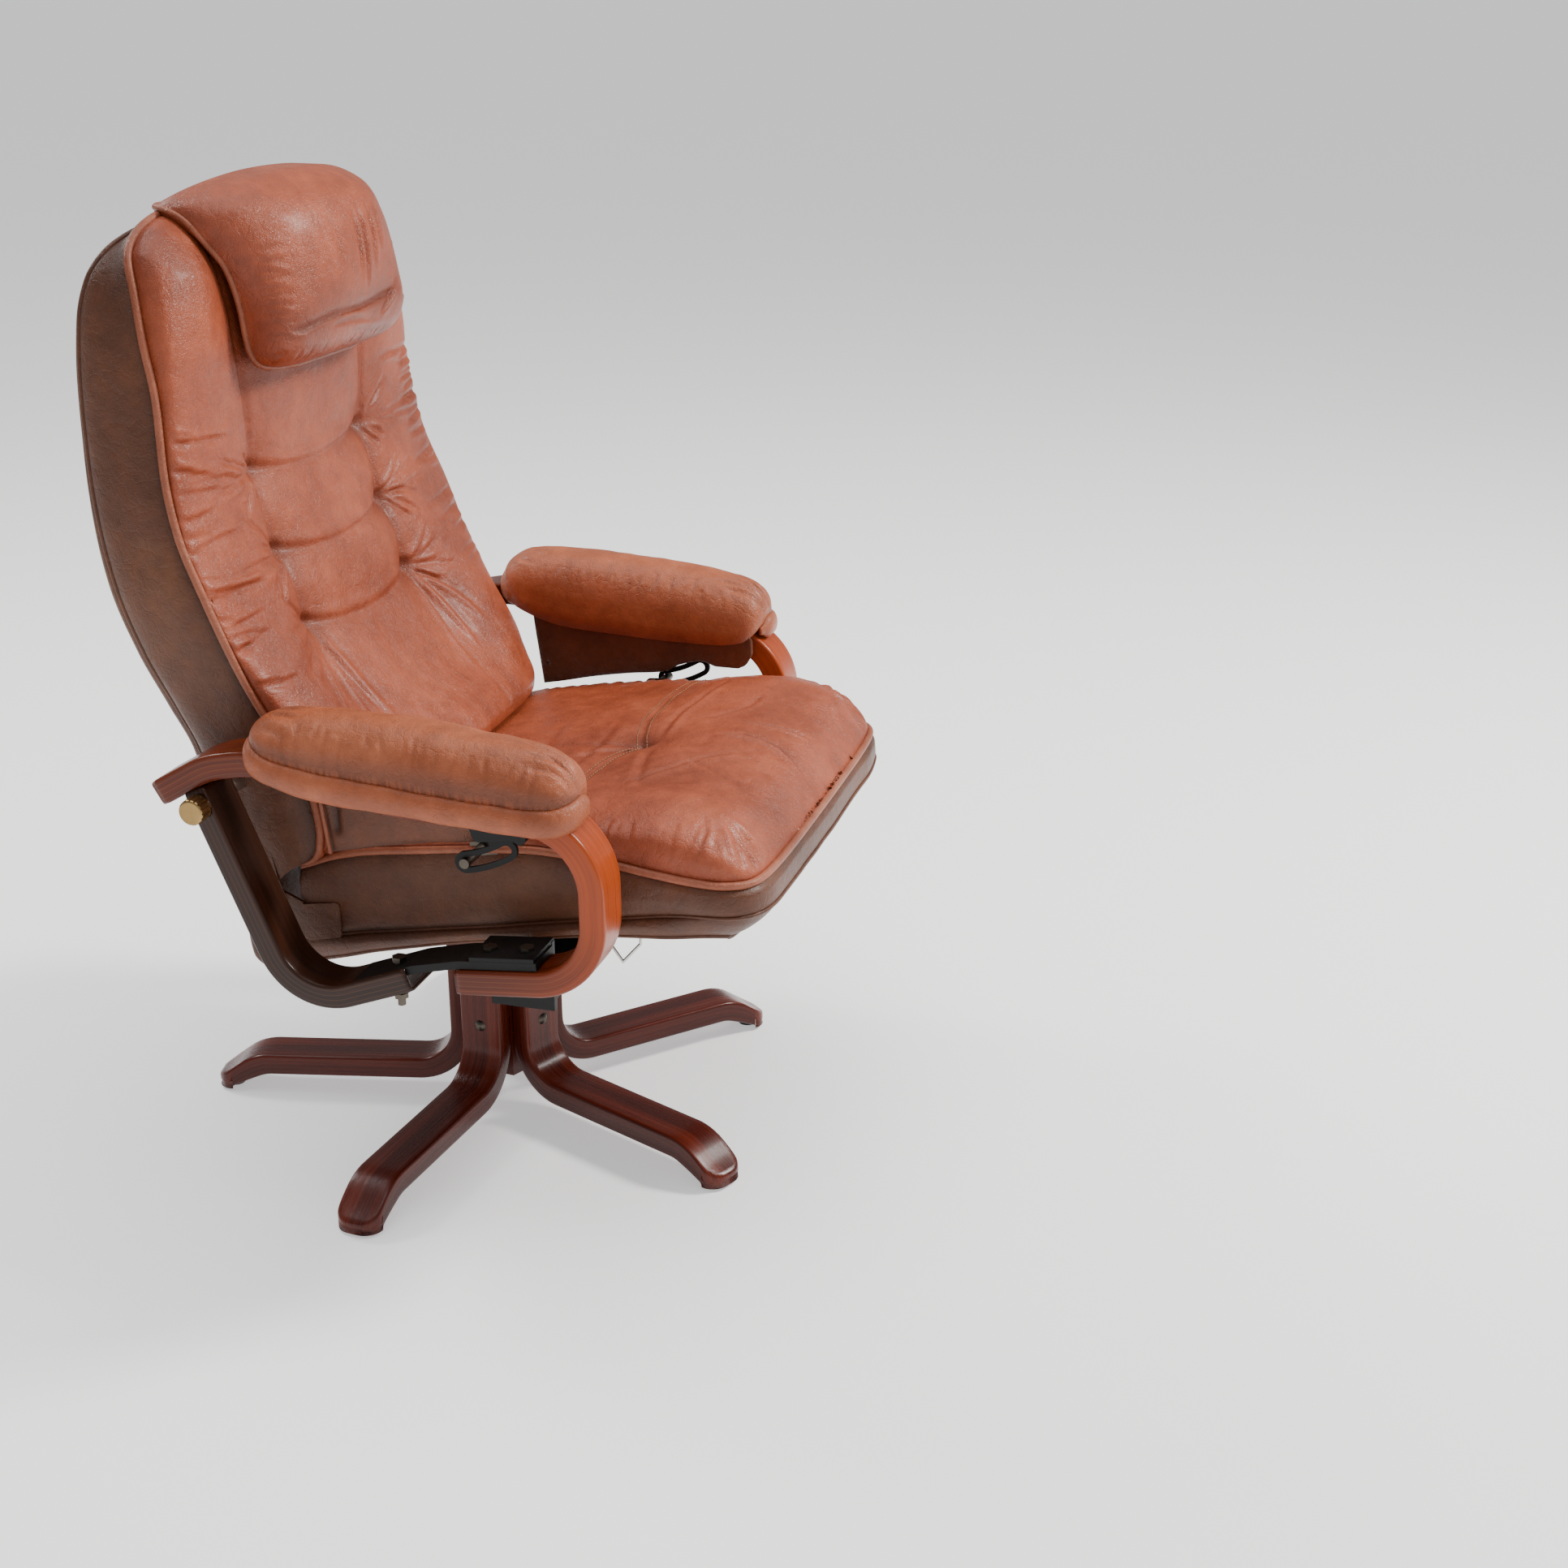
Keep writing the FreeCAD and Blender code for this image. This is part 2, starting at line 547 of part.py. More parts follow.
back_shell = slab(shell_side, 0, -300, 300).common(back_outline)

POST_X = (200.0, 225.0)
POST_THICK = 12.0
POST_PATH = [(-160.0, 300.0), (-170.0, 440.0), (-196.0, 530.0), (-244.0, 660.0), (-262.0, 800.0),
             (-256.0, 945.0)]
POST_RADII = [150.0, 150.0, 200.0, 300.0]
back_post = band(POST_PATH, POST_RADII, POST_THICK, POST_X[0], POST_X[1])
RAIL_SPOTS = [(-163.5, 345.0), (-196.5, 532.0), (-252.0, 715.0), (-257.5, 920.0)]
back_rails = [box((-POST_X[0], POST_X[0]), (f - 6, f + 6), (z - 15, z + 15)) for f, z in RAIL_SPOTS]
STRAP_SPOTS = [(-170.0, 430.0), (-222.0, 600.0), (-240.0, 655.0), (-261.0, 790.0), (-261.0, 855.0)]
back_straps = [box((-POST_X[0], POST_X[0]), (f - 1.5, f + 1.5), (z - 22, z + 22)) for f, z in STRAP_SPOTS]

bracket_side = [(-176.0, 505.0), (-186.0, 470.0), (-172.0, 432.0), (-150.0, 330.0), (-134.0, 321.0),
                (-119.0, 333.0), (-138.0, 440.0), (-140.0, 478.0), (-152.0, 505.0)]
back_bracket = slab(bracket_side, [8, 14, 20, 10, 10, 10, 20, 14, 8], BACK_BRACKET[0], BACK_BRACKET[1])
bracket_foot = box((BACK_LOW_HALF + 0.1, BRACKET_X), (-174, -156), (476, 500))
back_bracket = back_bracket.fuse(bracket_foot)
back_bracket = back_bracket.cut(rod(PIN_R + RUNNING, 200, 400, PIVOT))
back_bracket = back_bracket.cut(rod(PIN_R + RUNNING, 200, 400, HINGE))
bracket_screws = []
for place in ((-166.0, 494.0), (-180.0, 484.0)):
    screw = rod(3.0, POST_X[1] - 12, BACK_BRACKET[1], place)
    bracket_screws.append(screw.fuse(rod(6.0, BACK_BRACKET[1], BACK_BRACKET[1] + 3, place)))
for solid in bracket_screws:
    back_bracket = back_bracket.cut(solid)
    back_post = back_post.cut(solid)
inner = [back_post, mirror(back_post)] + back_rails + back_straps
inner += bracket_screws + [mirror(s) for s in bracket_screws]
for solid in inner:
    back_shell = back_shell.cut(solid)
    back_cushion = back_cushion.cut(solid)

PILLOW_SIDE = [(-262.0, 1003.6), (-254.0, 1020.0), (-200.0, 1030.0), (-146.0, 1010.0), (-120.0, 978.0),
               (-117.0, 930.0), (-126.0, 866.0), (-150.0, 842.0), (-177.0, 838.0), (-187.5, 880.0),
               (-198.0, 956.0), (-221.0, 1003.6)]
PILLOW_ROUND = [4, 12, 60, 30, 30, 60, 16, 10, 5, 0, 0, 0]
PILLOW_FRONT = [(110.0, 836.0), (138.0, 850.0), (143.0, 930.0), (178.0, 968.0), (193.0, 992.0),
                (160.0, 1018.0), (90.0, 1031.0)]
head_pillow = slab(PILLOW_SIDE, PILLOW_ROUND, -200, 200).common(front_slab(PILLOW_FRONT, 12.0))

save("back_cushion", back_cushion)
save("back_shell", back_shell)
save("head_pillow", head_pillow)
save("back_posts", group([back_post, mirror(back_post)]))
save("back_rails", group(back_rails))
save("back_webbing", group(back_straps))
save_pair("back_bracket", back_bracket)
save("bracket_screws", group(bracket_screws + [mirror(s) for s in bracket_screws]))

# ---------------------------------------------------------------- seat
SEAT_PIPING = [(368.0, 398.0), (335.0, 399.0), (294.0, 402.0), (244.0, 411.0), (163.0, 418.0), (104.0, 414.0),
               (-36.0, 393.0), (-108.0, 366.0)]
SEAT_LOW = [(-112.0, 345.0), (-98.0, 262.0), (-10.0, 288.0), (114.0, 315.0), (242.0, 334.0), (308.0, 337.0),
            (346.0, 328.0), (376.0, 352.0), (384.0, 380.0)]
SEAT_TOP = [(-98.0, 398.0), (-36.0, 412.5), (30.0, 423.5), (104.0, 435.5), (194.0, 450.0), (272.0, 456.0),
            (318.0, 448.0), (352.0, 424.0)]
SEAM = [(-140.0, 284.0), (-107.0, 291.0), (64.0, 323.0), (134.0, 336.0), (252.0, 357.0), (318.0, 362.0)]
seat_plan = plan_slab([(-SEAT_HALF + 6, -150), (SEAT_HALF - 6, -150), (SEAT_HALF, 100), (SEAT_HALF - 1, 386),
                       (-SEAT_HALF + 1, 386), (-SEAT_HALF, 100)], [10, 10, 200, 42, 42, 200])
seat_border = slab(SEAT_LOW + SEAT_PIPING, 0, -300, 300).common(seat_plan)
hollow = slab(SEAM + [(318.0, 200.0), (-140.0, 200.0)], 0, -SEAT_HALF + 22, SEAT_HALF - 22)
seat_border = seat_border.cut(hollow)
cushion_low = [(f, z + CLEAR) for f, z in SEAT_PIPING]
seat_cushion = slab(cushion_low + SEAT_TOP, 0, -300, 300).common(seat_plan)

SEAT_RAIL_X = (210.0, 232.0)
SEAT_RAIL = [(-96.0, 306.0), (300.0, 368.0)]
seat_rail = band(SEAT_RAIL, [], 28.0, SEAT_RAIL_X[0], SEAT_RAIL_X[1])
seat_ends = [box((-SEAT_RAIL_X[0], SEAT_RAIL_X[0]), (f - 11, f + 11), (z - 14, z + 14))
             for f, z in ((-84.0, 312.0), (285.0, 372.0))]
seat_straps = []
for i in range(5):
    forward = -40.0 + i * 68.0
    up = 324.0 + (forward + 40.0) * 0.157
    seat_straps.append(box((-SEAT_RAIL_X[0], SEAT_RAIL_X[0]), (forward - 22, forward + 22), (up + 6, up + 9)))
for solid in [seat_rail, mirror(seat_rail)] + seat_ends + seat_straps:
    seat_border = seat_border.cut(solid)

LUG_THICK = 3.5
seat_lug = slab([(-120.0, 312.0), (-112.0, 330.0), (-60.0, 338.0), (-60.0, 300.0), (-96.0, 292.0)], 4,
                SEAT_HALF, SEAT_HALF + LUG_THICK)
lug_eye = rod(13.0, SEAT_HALF, SEAT_HALF + LUG_THICK, HINGE)
lug_neck = slab([(-138.0, 325.0), (-134.0, 349.0), (-100.0, 334.0), (-104.0, 306.0)], 0,
                SEAT_HALF, SEAT_HALF + LUG_THICK)
seat_lug = seat_lug.fuse([lug_eye, lug_neck]).removeSplitter()
hinge_pin = rod(PIN_R, SEAT_HALF + 0.5, BACK_BRACKET[1] + 2.5, HINGE)
hinge_pin = hinge_pin.fuse(rod(8.0, BACK_BRACKET[1] + 0.4, BACK_BRACKET[1] + 2.5, HINGE))
seat_lug = seat_lug.cut(hinge_pin)
guide_pin = rod(PIN_R, SEAT_HALF, 306.0, GUIDE_PIN)
pin_plate = slab([(84.0, 380.0), (118.0, 384.0), (112.0, 428.0), (86.0, 426.0)], 6,
                 SEAT_HALF, SEAT_HALF + 3.0)
guide_pin = guide_pin.fuse(pin_plate)
seat_border = seat_border.cut(guide_pin).cut(seat_lug)
seat_cushion = seat_cushion.cut(guide_pin)

WIRE_R = 1.5
WIRE_X = -200.0
WIRE_PATH = [(205.0, 348.0), (205.0, 299.0), (218.0, 281.0), (237.0, 303.0), (240.0, 354.0)]
wire_loop = Part.makeSphere(WIRE_R, at(WIRE_PATH[0], WIRE_X))
for a, b in zip(WIRE_PATH, WIRE_PATH[1:]):
    start = at(a, WIRE_X)
    step = at(b, WIRE_X).sub(start)
    wire_loop = wire_loop.fuse(Part.makeCylinder(WIRE_R, step.Length, start, step))
    wire_loop = wire_loop.fuse(Part.makeSphere(WIRE_R, at(b, WIRE_X)))
seat_border = seat_border.cut(wire_loop)

save("seat_cushion", seat_cushion)
save("seat_border", seat_border)
save("seat_side_rails", group([seat_rail, mirror(seat_rail)]))
save("seat_end_rails", group(seat_ends))
save("seat_webbing", group(seat_straps))
save_pair("seat_lug", seat_lug)
save("hinge_pins", group([hinge_pin, mirror(hinge_pin)]))
save_pair("guide_pin", guide_pin)
save("wire_loop", wire_loop)
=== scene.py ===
"""Looks of the swivel recliner armchair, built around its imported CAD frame.

Lengths are metres.  Side outlines are (forward, up) pairs counted from the swivel axis on
the floor, and widths are counted from the middle of the chair.
"""
import json
import math

import bmesh
import bpy
import numpy as np
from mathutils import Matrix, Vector, noise


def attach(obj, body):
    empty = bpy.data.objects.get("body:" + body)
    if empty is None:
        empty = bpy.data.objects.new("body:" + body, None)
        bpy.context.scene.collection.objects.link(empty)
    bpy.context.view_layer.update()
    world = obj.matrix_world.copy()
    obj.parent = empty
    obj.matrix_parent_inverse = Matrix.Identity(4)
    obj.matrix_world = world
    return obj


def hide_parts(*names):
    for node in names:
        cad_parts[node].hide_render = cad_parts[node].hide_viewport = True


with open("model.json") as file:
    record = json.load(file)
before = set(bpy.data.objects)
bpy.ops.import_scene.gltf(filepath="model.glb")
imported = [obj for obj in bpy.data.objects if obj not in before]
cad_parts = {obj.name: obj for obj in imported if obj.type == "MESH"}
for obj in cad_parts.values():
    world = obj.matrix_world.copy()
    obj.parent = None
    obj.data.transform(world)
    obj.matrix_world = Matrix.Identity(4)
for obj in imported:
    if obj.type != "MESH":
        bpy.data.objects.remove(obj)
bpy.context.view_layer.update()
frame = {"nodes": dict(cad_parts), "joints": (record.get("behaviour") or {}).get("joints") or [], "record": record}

JOINTS = {j["name"]: j for j in frame["joints"]}
AXIS_Y = JOINTS["swivel"]["pos_m"][1]


# ---------------------------------------------------------------- camera, floor and light
CAMERA_LENS_MM = 49.94
CAMERA_SENSOR_MM = 36.0
CAMERA_X, CAMERA_FORWARD, CAMERA_UP = -2.063, 0.911, 1.214
CAMERA_HEADING = (0.96246, 0.27144)
CAMERA_PITCH = math.radians(20.55)
FLOOR_SIZE = 260
FLOOR_UP = -0.0005
FLOOR_GLOW = 0.52
SKY_STRENGTH = 0.38
WHITE = (1.0, 1.0, 1.0, 1)
# name, place, aim, size, power, tint
LIGHTS = [("key", (1.3, -2.7, 2.8), (0, 0, 0.5), 0.8, 165, (1.0, 0.97, 0.93)),
          ("top", (0, 0, 5.0), (0, 0, 0), 5.0, 170, (1, 1, 1)),
          ("rim", (0.6, 2.4, 2.6), (0, 0, 0.7), 0.8, 40, (1, 1, 1)),
          ("fill", (-3.0, -1.8, 1.6), (0, 0, 0.5), 2.5, 6, (1, 1, 1))]


def put(name, data, spot, look):
    """Add a camera or light at a spot, looking along a direction."""
    obj = bpy.data.objects.new(name, data)
    bpy.context.collection.objects.link(obj)
    obj.location = spot
    obj.rotation_euler = look.to_track_quat("-Z", "Y").to_euler()
    return obj


def make_camera():
    data = bpy.data.cameras.new("camera")
    data.lens = CAMERA_LENS_MM
    data.sensor_width = CAMERA_SENSOR_MM
    level = math.cos(CAMERA_PITCH)
    look = Vector((CAMERA_HEADING[0] * level, CAMERA_HEADING[1] * level, -math.sin(CAMERA_PITCH)))
    spot = (CAMERA_X, AXIS_Y - CAMERA_FORWARD, CAMERA_UP)
    bpy.context.scene.camera = put("camera", data, spot, look)


def make_lights():
    for name, spot, aim, size, power, tint in LIGHTS:
        data = bpy.data.lights.new(name, "AREA")
        data.shape = "DISK"
        data.size = size
        data.energy = power
        data.color = tint
        put(name, data, spot, Vector(aim) - Vector(spot))


def make_stage():
    bpy.ops.mesh.primitive_plane_add(size=FLOOR_SIZE, location=(0, 0, FLOOR_UP))
    floor = bpy.context.object
    floor.name = "floor"
    white = Look("floor_white")
    white.shade({"Base Color": (0.88, 0.88, 0.88, 1), "Roughness": 0.9, "Emission Color": WHITE,
                 "Emission Strength": FLOOR_GLOW})
    floor.data.materials.append(white.material)
    world = bpy.data.worlds.new("studio")
    bpy.context.scene.world = world
    world.use_nodes = True
    sky = world.node_tree.nodes["Background"]
    sky.inputs["Color"].default_value = WHITE
    sky.inputs["Strength"].default_value = SKY_STRENGTH


# ---------------------------------------------------------------- materials
class Look:
    """A node material being built.  Most methods add a node and return its output."""

    def __init__(self, name):
        self.material = bpy.data.materials.new(name)
        self.material.use_nodes = True
        self.tree = self.material.node_tree

    def fill(self, node, inputs):
        """Link each input to the output given for it, or set its value."""
        for key, value in inputs.items():
            if isinstance(value, bpy.types.NodeSocket):
                self.tree.links.new(value, node.inputs[key])
            else:
                node.inputs[key].default_value = value

    def shade(self, inputs):
        self.fill(self.tree.nodes["Principled BSDF"], inputs)

    def add(self, kind, output, inputs, **settings):
        node = self.tree.nodes.new("ShaderNode" + kind)
        for key, value in settings.items():
            setattr(node, key, value)
        self.fill(node, inputs)
        return node.outputs[output]

    def place(self):
        return self.add("TexCoord", "Object", {})

    def attribute(self, key):
        return self.add("Attribute", "Fac", {}, attribute_name=key)

    def noise(self, source, scale, detail=4.0, rough=0.6, stretch=None):
        """A noise texture, stretched per axis if asked."""
        if stretch:
            source = self.add("Mapping", "Vector", {"Scale": stretch, "Vector": source})
        inputs = {"Scale": scale, "Detail": detail, "Roughness": rough, "Vector": source}
        return self.add("TexNoise", "Fac", inputs)

    def ramp(self, source, *stops):
        """Colours at places from 0 to 1."""
        node = self.tree.nodes.new("ShaderNodeValToRGB")
        elements = node.color_ramp.elements
        for index in (0, -1):
            elements[index].position, elements[index].color = stops[index][0], (*stops[index][1], 1)
        for position, colour in stops[1:-1]:
            elements.new(position).color = (*colour, 1)
        self.fill(node, {"Fac": source})
        return node.outputs["Color"]

    def tones(self, source, colour, low, high):
        """A colour that varies between two brightnesses."""
        return self.ramp(source, (0.3, tint(colour, low)), (0.7, tint(colour, high)))

    def mix(self, factor, a, b, kind="MIX"):
        a, b = (v if isinstance(v, bpy.types.NodeSocket) else (*v, 1) for v in (a, b))
        return self.add("Mix", 2, {0: factor, 6: a, 7: b}, data_type="RGBA", blend_type=kind)

    def spread(self, source, low, high):
        return self.add("MapRange", "Result", {"To Min": low, "To Max": high, "Value": source})

    def cells(self, source, scale, width):
        """Lines between cells: 0 on a line, 1 past its width."""
        gap = self.add("TexVoronoi", "Distance", {"Scale": scale, "Vector": source}, feature="DISTANCE_TO_EDGE")
        return self.ramp(gap, (0.0, (0, 0, 0)), (width, (1, 1, 1)))

    def wave(self, source, scale, direction):
        return self.add("TexWave", "Fac", {"Scale": scale, "Vector": source}, bands_direction=direction)

    def bump(self, *layers):
        """Stack bump layers of (height output, distance in metres)."""
        below = {}
        for height, distance in layers:
            inputs = {"Distance": distance, "Strength": 1.0, "Height": height}
            below = {"Normal": self.add("Bump", "Normal", {**inputs, **below})}
        self.shade(below)


def tint(colour, factor):
    return tuple(c * factor for c in colour)


def leather(name, dark, middle, light, roughness=0.40, crease=True):
    """Leather with mottled dye, a fine cell grain and soft wrinkles, with painted shade in its creases and a
    painted highlight on its raised spots.
    """
    look = Look(name)
    place = look.place()
    broad = look.noise(place, 7.0, 5.0, 0.62)
    fine = look.noise(place, 60.0)
    base = look.ramp(broad, (0.30, dark), (0.52, middle), (0.72, light))
    speck = look.ramp(fine, (0.3, (0.84, 0.83, 0.82)), (0.7, (1.10, 1.09, 1.08)))
    colour = look.mix(1.0, base, speck, "MULTIPLY")
    if crease:
        # painted shade: darker where the crease attribute marks seams, tufts, creases and folds
        colour = look.mix(look.attribute("crease"), colour, tint(dark, 0.42))
        # painted highlight: lighter on raised lumps and fold ridges
        colour = look.mix(look.attribute("worn"), colour, tint(light, 1.3))
    grain = look.cells(place, 520.0, 0.22)
    wrinkle = look.noise(place, 38.0, 5.0, 0.55)
    bend = look.add("TexNoise", "Color", {"Scale": 45.0, "Vector": place})
    warped = look.add("VectorMath", "Vector", {0: bend, 1: (0.035,) * 3, 2: place}, operation="MULTIPLY_ADD")
    lines = look.cells(warped, 62.0, 0.13)
    look.shade({"Base Color": colour, "Roughness": look.spread(fine, roughness - 0.09, roughness + 0.10),
                "Specular IOR Level": 0.36, "Coat Weight": 0.06, "Coat Roughness": 0.25})
    look.bump((wrinkle, 0.0022), (lines, 0.00022), (grain, 0.00016))
    return look.material


def wood(name, dark, middle, light, roughness, veneer_line_and_highlight, painted_light_colour=None):
    """Bent laminated wood: grain along the strip and thin light veneer lines on its edges, partly the real glue
    lines and partly a painted highlight along the edges.

    Swept strips carry 'along', 'across' and 'layer' attributes in metres, 'edge' where the
    veneers show, and 'sun' where light is painted on as a lighter, more orange colour.
    """
    look = Look(name)
    axes = enumerate(("along", "across", "layer"))
    place = look.add("CombineXYZ", 0, {i: look.attribute(key) for i, key in axes})
    fibres = look.noise(place, 1.0, 6.0, 0.65, stretch=(5.0, 420.0, 260.0))
    bands = look.noise(place, 1.0, 4.0, 0.6, stretch=(2.0, 60.0, 45.0))
    pores = look.noise(place, 1.0, 2.0, 0.5, stretch=(60.0, 2400.0, 1200.0))
    base = look.ramp(bands, (0.32, dark), (0.5, middle), (0.7, light))
    if painted_light_colour:
        # painted light: a lighter, more orange colour where light falls on the front bend
        base = look.mix(look.attribute("sun"), base, painted_light_colour)
    streak = look.ramp(fibres, (0.3, (0.66, 0.62, 0.60)), (0.7, (1.15, 1.15, 1.15)))
    colour = look.mix(1.0, base, streak, "MULTIPLY")
    # veneer lines on the edges, lighter than the wood: partly real glue lines, partly a painted highlight along
    # the edges
    lines = look.ramp(look.wave(place, 62.0, "Z"), (0.90, (0, 0, 0)), (0.985, (0.26, 0.26, 0.26)))
    shown = look.add("Math", 0, {0: lines, 1: look.attribute("edge")}, operation="MULTIPLY")
    look.shade({"Base Color": look.mix(shown, colour, veneer_line_and_highlight),
                "Roughness": look.spread(fibres, roughness - 0.06, roughness + 0.08),
                "Specular IOR Level": 0.24, "Coat Weight": 0.12, "Coat Roughness": 0.2})
    look.bump((fibres, 0.00018), (pores, 0.00008))
    return look.material


def metal(name, colour, roughness, metallic=1.0, brushed=0.00004):
    """Metal, paint or plastic with fine scratches and uneven gloss."""
    look = Look(name)
    place = look.place()
    smear = look.noise(place, 35.0, 5.0, 0.65)
    scratch = look.noise(place, 1.0, 3.0, stretch=(160.0, 900.0, 900.0))
    look.shade({"Base Color": look.tones(smear, colour, 0.78, 1.12), "Metallic": metallic,
                "Roughness": look.spread(smear, roughness - 0.08, roughness + 0.12),
                "Specular IOR Level": 0.25 + 0.25 * metallic})
    look.bump((scratch, brushed))
    return look.material


def cloth_material(name, colour, threads=900.0):
    """Woven cloth or webbing."""
    look = Look(name)
    place = look.place()
    weave = {i: look.wave(place, threads / 6.0, axis) for i, axis in enumerate("XY")}
    both = look.add("Math", 0, weave, operation="MAXIMUM")
    look.shade({"Base Color": look.tones(look.noise(place, 40.0), colour, 0.7, 1.25), "Roughness": 0.92})
    look.bump((both, 0.0003))
    return look.material


TOP_LEATHER = leather("leather_tan", (0.195, 0.037, 0.013), (0.305, 0.063, 0.024), (0.41, 0.097, 0.042))
BORDER_LEATHER = leather("leather_brown", (0.064, 0.018, 0.006), (0.102, 0.030, 0.010), (0.145, 0.048, 0.017),
                         0.44)
PAD_LEATHER = leather("leather_pad", (0.24, 0.058, 0.020), (0.36, 0.094, 0.036), (0.48, 0.145, 0.064))
FLAP_LEATHER = leather("leather_flap", (0.085, 0.023, 0.008), (0.145, 0.041, 0.015), (0.21, 0.064, 0.026),
                       0.44)
PIPING_LEATHER = leather("leather_piping", (0.22, 0.058, 0.026), (0.31, 0.092, 0.046), (0.41, 0.14, 0.078),
                         0.42, False)
MAHOGANY = wood("wood_mahogany", (0.038, 0.0042, 0.0020), (0.080, 0.0092, 0.0040), (0.15, 0.021, 0.008),
                0.26, (0.13, 0.030, 0.012))
# the last colour is the painted light on the arms' front bend
BENTWOOD = wood("wood_bent", (0.046, 0.0062, 0.0020), (0.078, 0.0110, 0.0034), (0.13, 0.022, 0.006), 0.28,
                (0.30, 0.10, 0.028), (0.36, 0.056, 0.010))
# the rear strips' wood, darkened as painted shade: the same bent wood as the arms, lying in shadow
SHADED_WOOD = wood("wood_bent_dark", (0.014, 0.0042, 0.0020), (0.024, 0.0070, 0.0030), (0.045, 0.013, 0.005),
                   0.30, (0.16, 0.06, 0.025))
PLYWOOD = wood("wood_inner", (0.40, 0.27, 0.15), (0.50, 0.36, 0.21), (0.60, 0.45, 0.28), 0.6, (0.3, 0.2, 0.1))
BLACK_STEEL = metal("steel_black_paint", (0.006, 0.006, 0.006), 0.5, 0.0, 0.00012)
BRIGHT_STEEL = metal("steel_zinc", (0.62, 0.60, 0.56), 0.30)
DARK_BOLTS = metal("steel_dark", (0.10, 0.085, 0.07), 0.38)
BRASS = metal("brass_aged", (0.34, 0.22, 0.09), 0.34)
BLACK_PLASTIC = metal("plastic_black", (0.009, 0.009, 0.009), 0.5, 0.0, 0.0001)
WEBBING = cloth_material("webbing_grey", (0.10, 0.09, 0.08))
DUST_CLOTH = cloth_material("dust_cloth", (0.018, 0.017, 0.016))
THREAD = cloth_material("thread_tan", (0.38, 0.17, 0.09), 3000.0)


# ---------------------------------------------------------------- mesh helpers
def smooth(table, x):
    """Monotone cubic through (key, value) pairs."""
    xs = np.array([p[0] for p in table], float)
    ys = np.array([p[1] for p in table], float)
    h = np.diff(xs)
    d = np.diff(ys) / h
    m = np.zeros_like(xs)
    m[0], m[-1] = d[0], d[-1]
    for i in range(1, len(xs) - 1):
        if d[i - 1] * d[i] > 0:
            w1, w2 = 2 * h[i] + h[i - 1], h[i] + 2 * h[i - 1]
            m[i] = (w1 + w2) / (w1 / d[i - 1] + w2 / d[i])
    x = np.clip(np.asarray(x, float), xs[0], xs[-1])
    i = np.clip(np.searchsorted(xs, x, side="right") - 1, 0, len(xs) - 2)
    t = (x - xs[i]) / h[i]
    return ((1 + 2 * t) * (1 - t) ** 2 * ys[i] + t * (1 - t) ** 2 * h[i] * m[i]
            + t * t * (3 - 2 * t) * ys[i + 1] + t * t * (t - 1) * h[i] * m[i + 1])


def run_length(points):
    """The length along a path up to each of its points."""
    return np.concatenate([[0], np.cumsum(np.linalg.norm(np.diff(points, axis=0), axis=1))])


def smooth_path(points, count):
    """A smooth curve through points of any dimension, evenly spaced along its length."""
    points = np.array(points, float)
    steps = run_length(points)
    fine = np.linspace(0, steps[-1], count * 6)
    dense = np.stack([smooth(list(zip(steps, column)), fine) for column in points.T], axis=1)
    length = run_length(dense)
    even = np.linspace(0, length[-1], count)
    return np.stack([np.interp(even, length, column) for column in dense.T], axis=1)


def place(x, forward, up):
    """Arrays of width, forward and up as points in the row frame."""
    x, forward, up = np.broadcast_arrays(x, forward, up)
    return np.stack([x, AXIS_Y - forward, up], axis=-1)


def mirrored_loop(half, forward, up):
    """A line at the right edge, and back along its mirror image at the left edge."""
    return np.concatenate([place(-half, forward, up), place(half, forward, up)[::-1][1:]])


def make_object(name, verts, faces, material, attributes=None):
    mesh = bpy.data.meshes.new(name)
    mesh.from_pydata([tuple(v) for v in verts], [], faces)
    mesh.update()
    obj = bpy.data.objects.new(name, mesh)
    bpy.context.collection.objects.link(obj)
    mesh.materials.append(material)
    for key, values in (attributes or {}).items():
        layer = mesh.attributes.new(key, "FLOAT", "POINT")
        layer.data.foreach_set("value", np.ascontiguousarray(values, dtype=np.float32))
    mesh.polygons.foreach_set("use_smooth", [True] * len(mesh.polygons))
    return obj


def grid_faces(rows, cols, wrap=False, start=0):
    faces = []
    last = cols if wrap else cols - 1
    for i in range(rows - 1):
        for j in range(last):
            k = (j + 1) % cols
            faces.append((start + i * cols + j, start + i * cols + k, start + (i + 1) * cols + k,
                          start + (i + 1) * cols + j))
    return faces


def clean(obj, merge=0.0):
    """Merge points nearer than a distance, if asked, and make the normals point outwards."""
    bm = bmesh.new()
    bm.from_mesh(obj.data)
    if merge:
        bmesh.ops.remove_doubles(bm, verts=bm.verts, dist=merge)
    bmesh.ops.recalc_face_normals(bm, faces=bm.faces)
    bm.to_mesh(obj.data)
    bm.free()
    return obj


def make_grid(name, points, material, attributes=None, wrap=False, caps=False):
    """A quad mesh over an array of points, rows by columns."""
    rows, cols = points.shape[:2]
    verts = points.reshape(-1, 3)
    faces = grid_faces(rows, cols, wrap)
    if caps:
        faces.append(tuple(range(cols)))
        faces.append(tuple((rows - 1) * cols + j for j in reversed(range(cols))))
    attributes = {k: np.asarray(v).reshape(-1) for k, v in (attributes or {}).items()}
    return clean(make_object(name, verts, faces, material, attributes), merge=0.0002)


def make_leather(name, points, material, crease=0.0, worn=0.0, **ends):
    """A leather surface, with the painted crease shade and the painted highlight at each point."""
    shape = points.shape[:2]
    marks = {"crease": np.broadcast_to(crease, shape), "worn": np.broadcast_to(worn, shape)}
    return make_grid(name, points, material, marks, **ends)


def thicken(obj, thickness):
    modifier = obj.modifiers.new("thickness", "SOLIDIFY")
    modifier.thickness = thickness
    modifier.offset = -1.0
    return obj


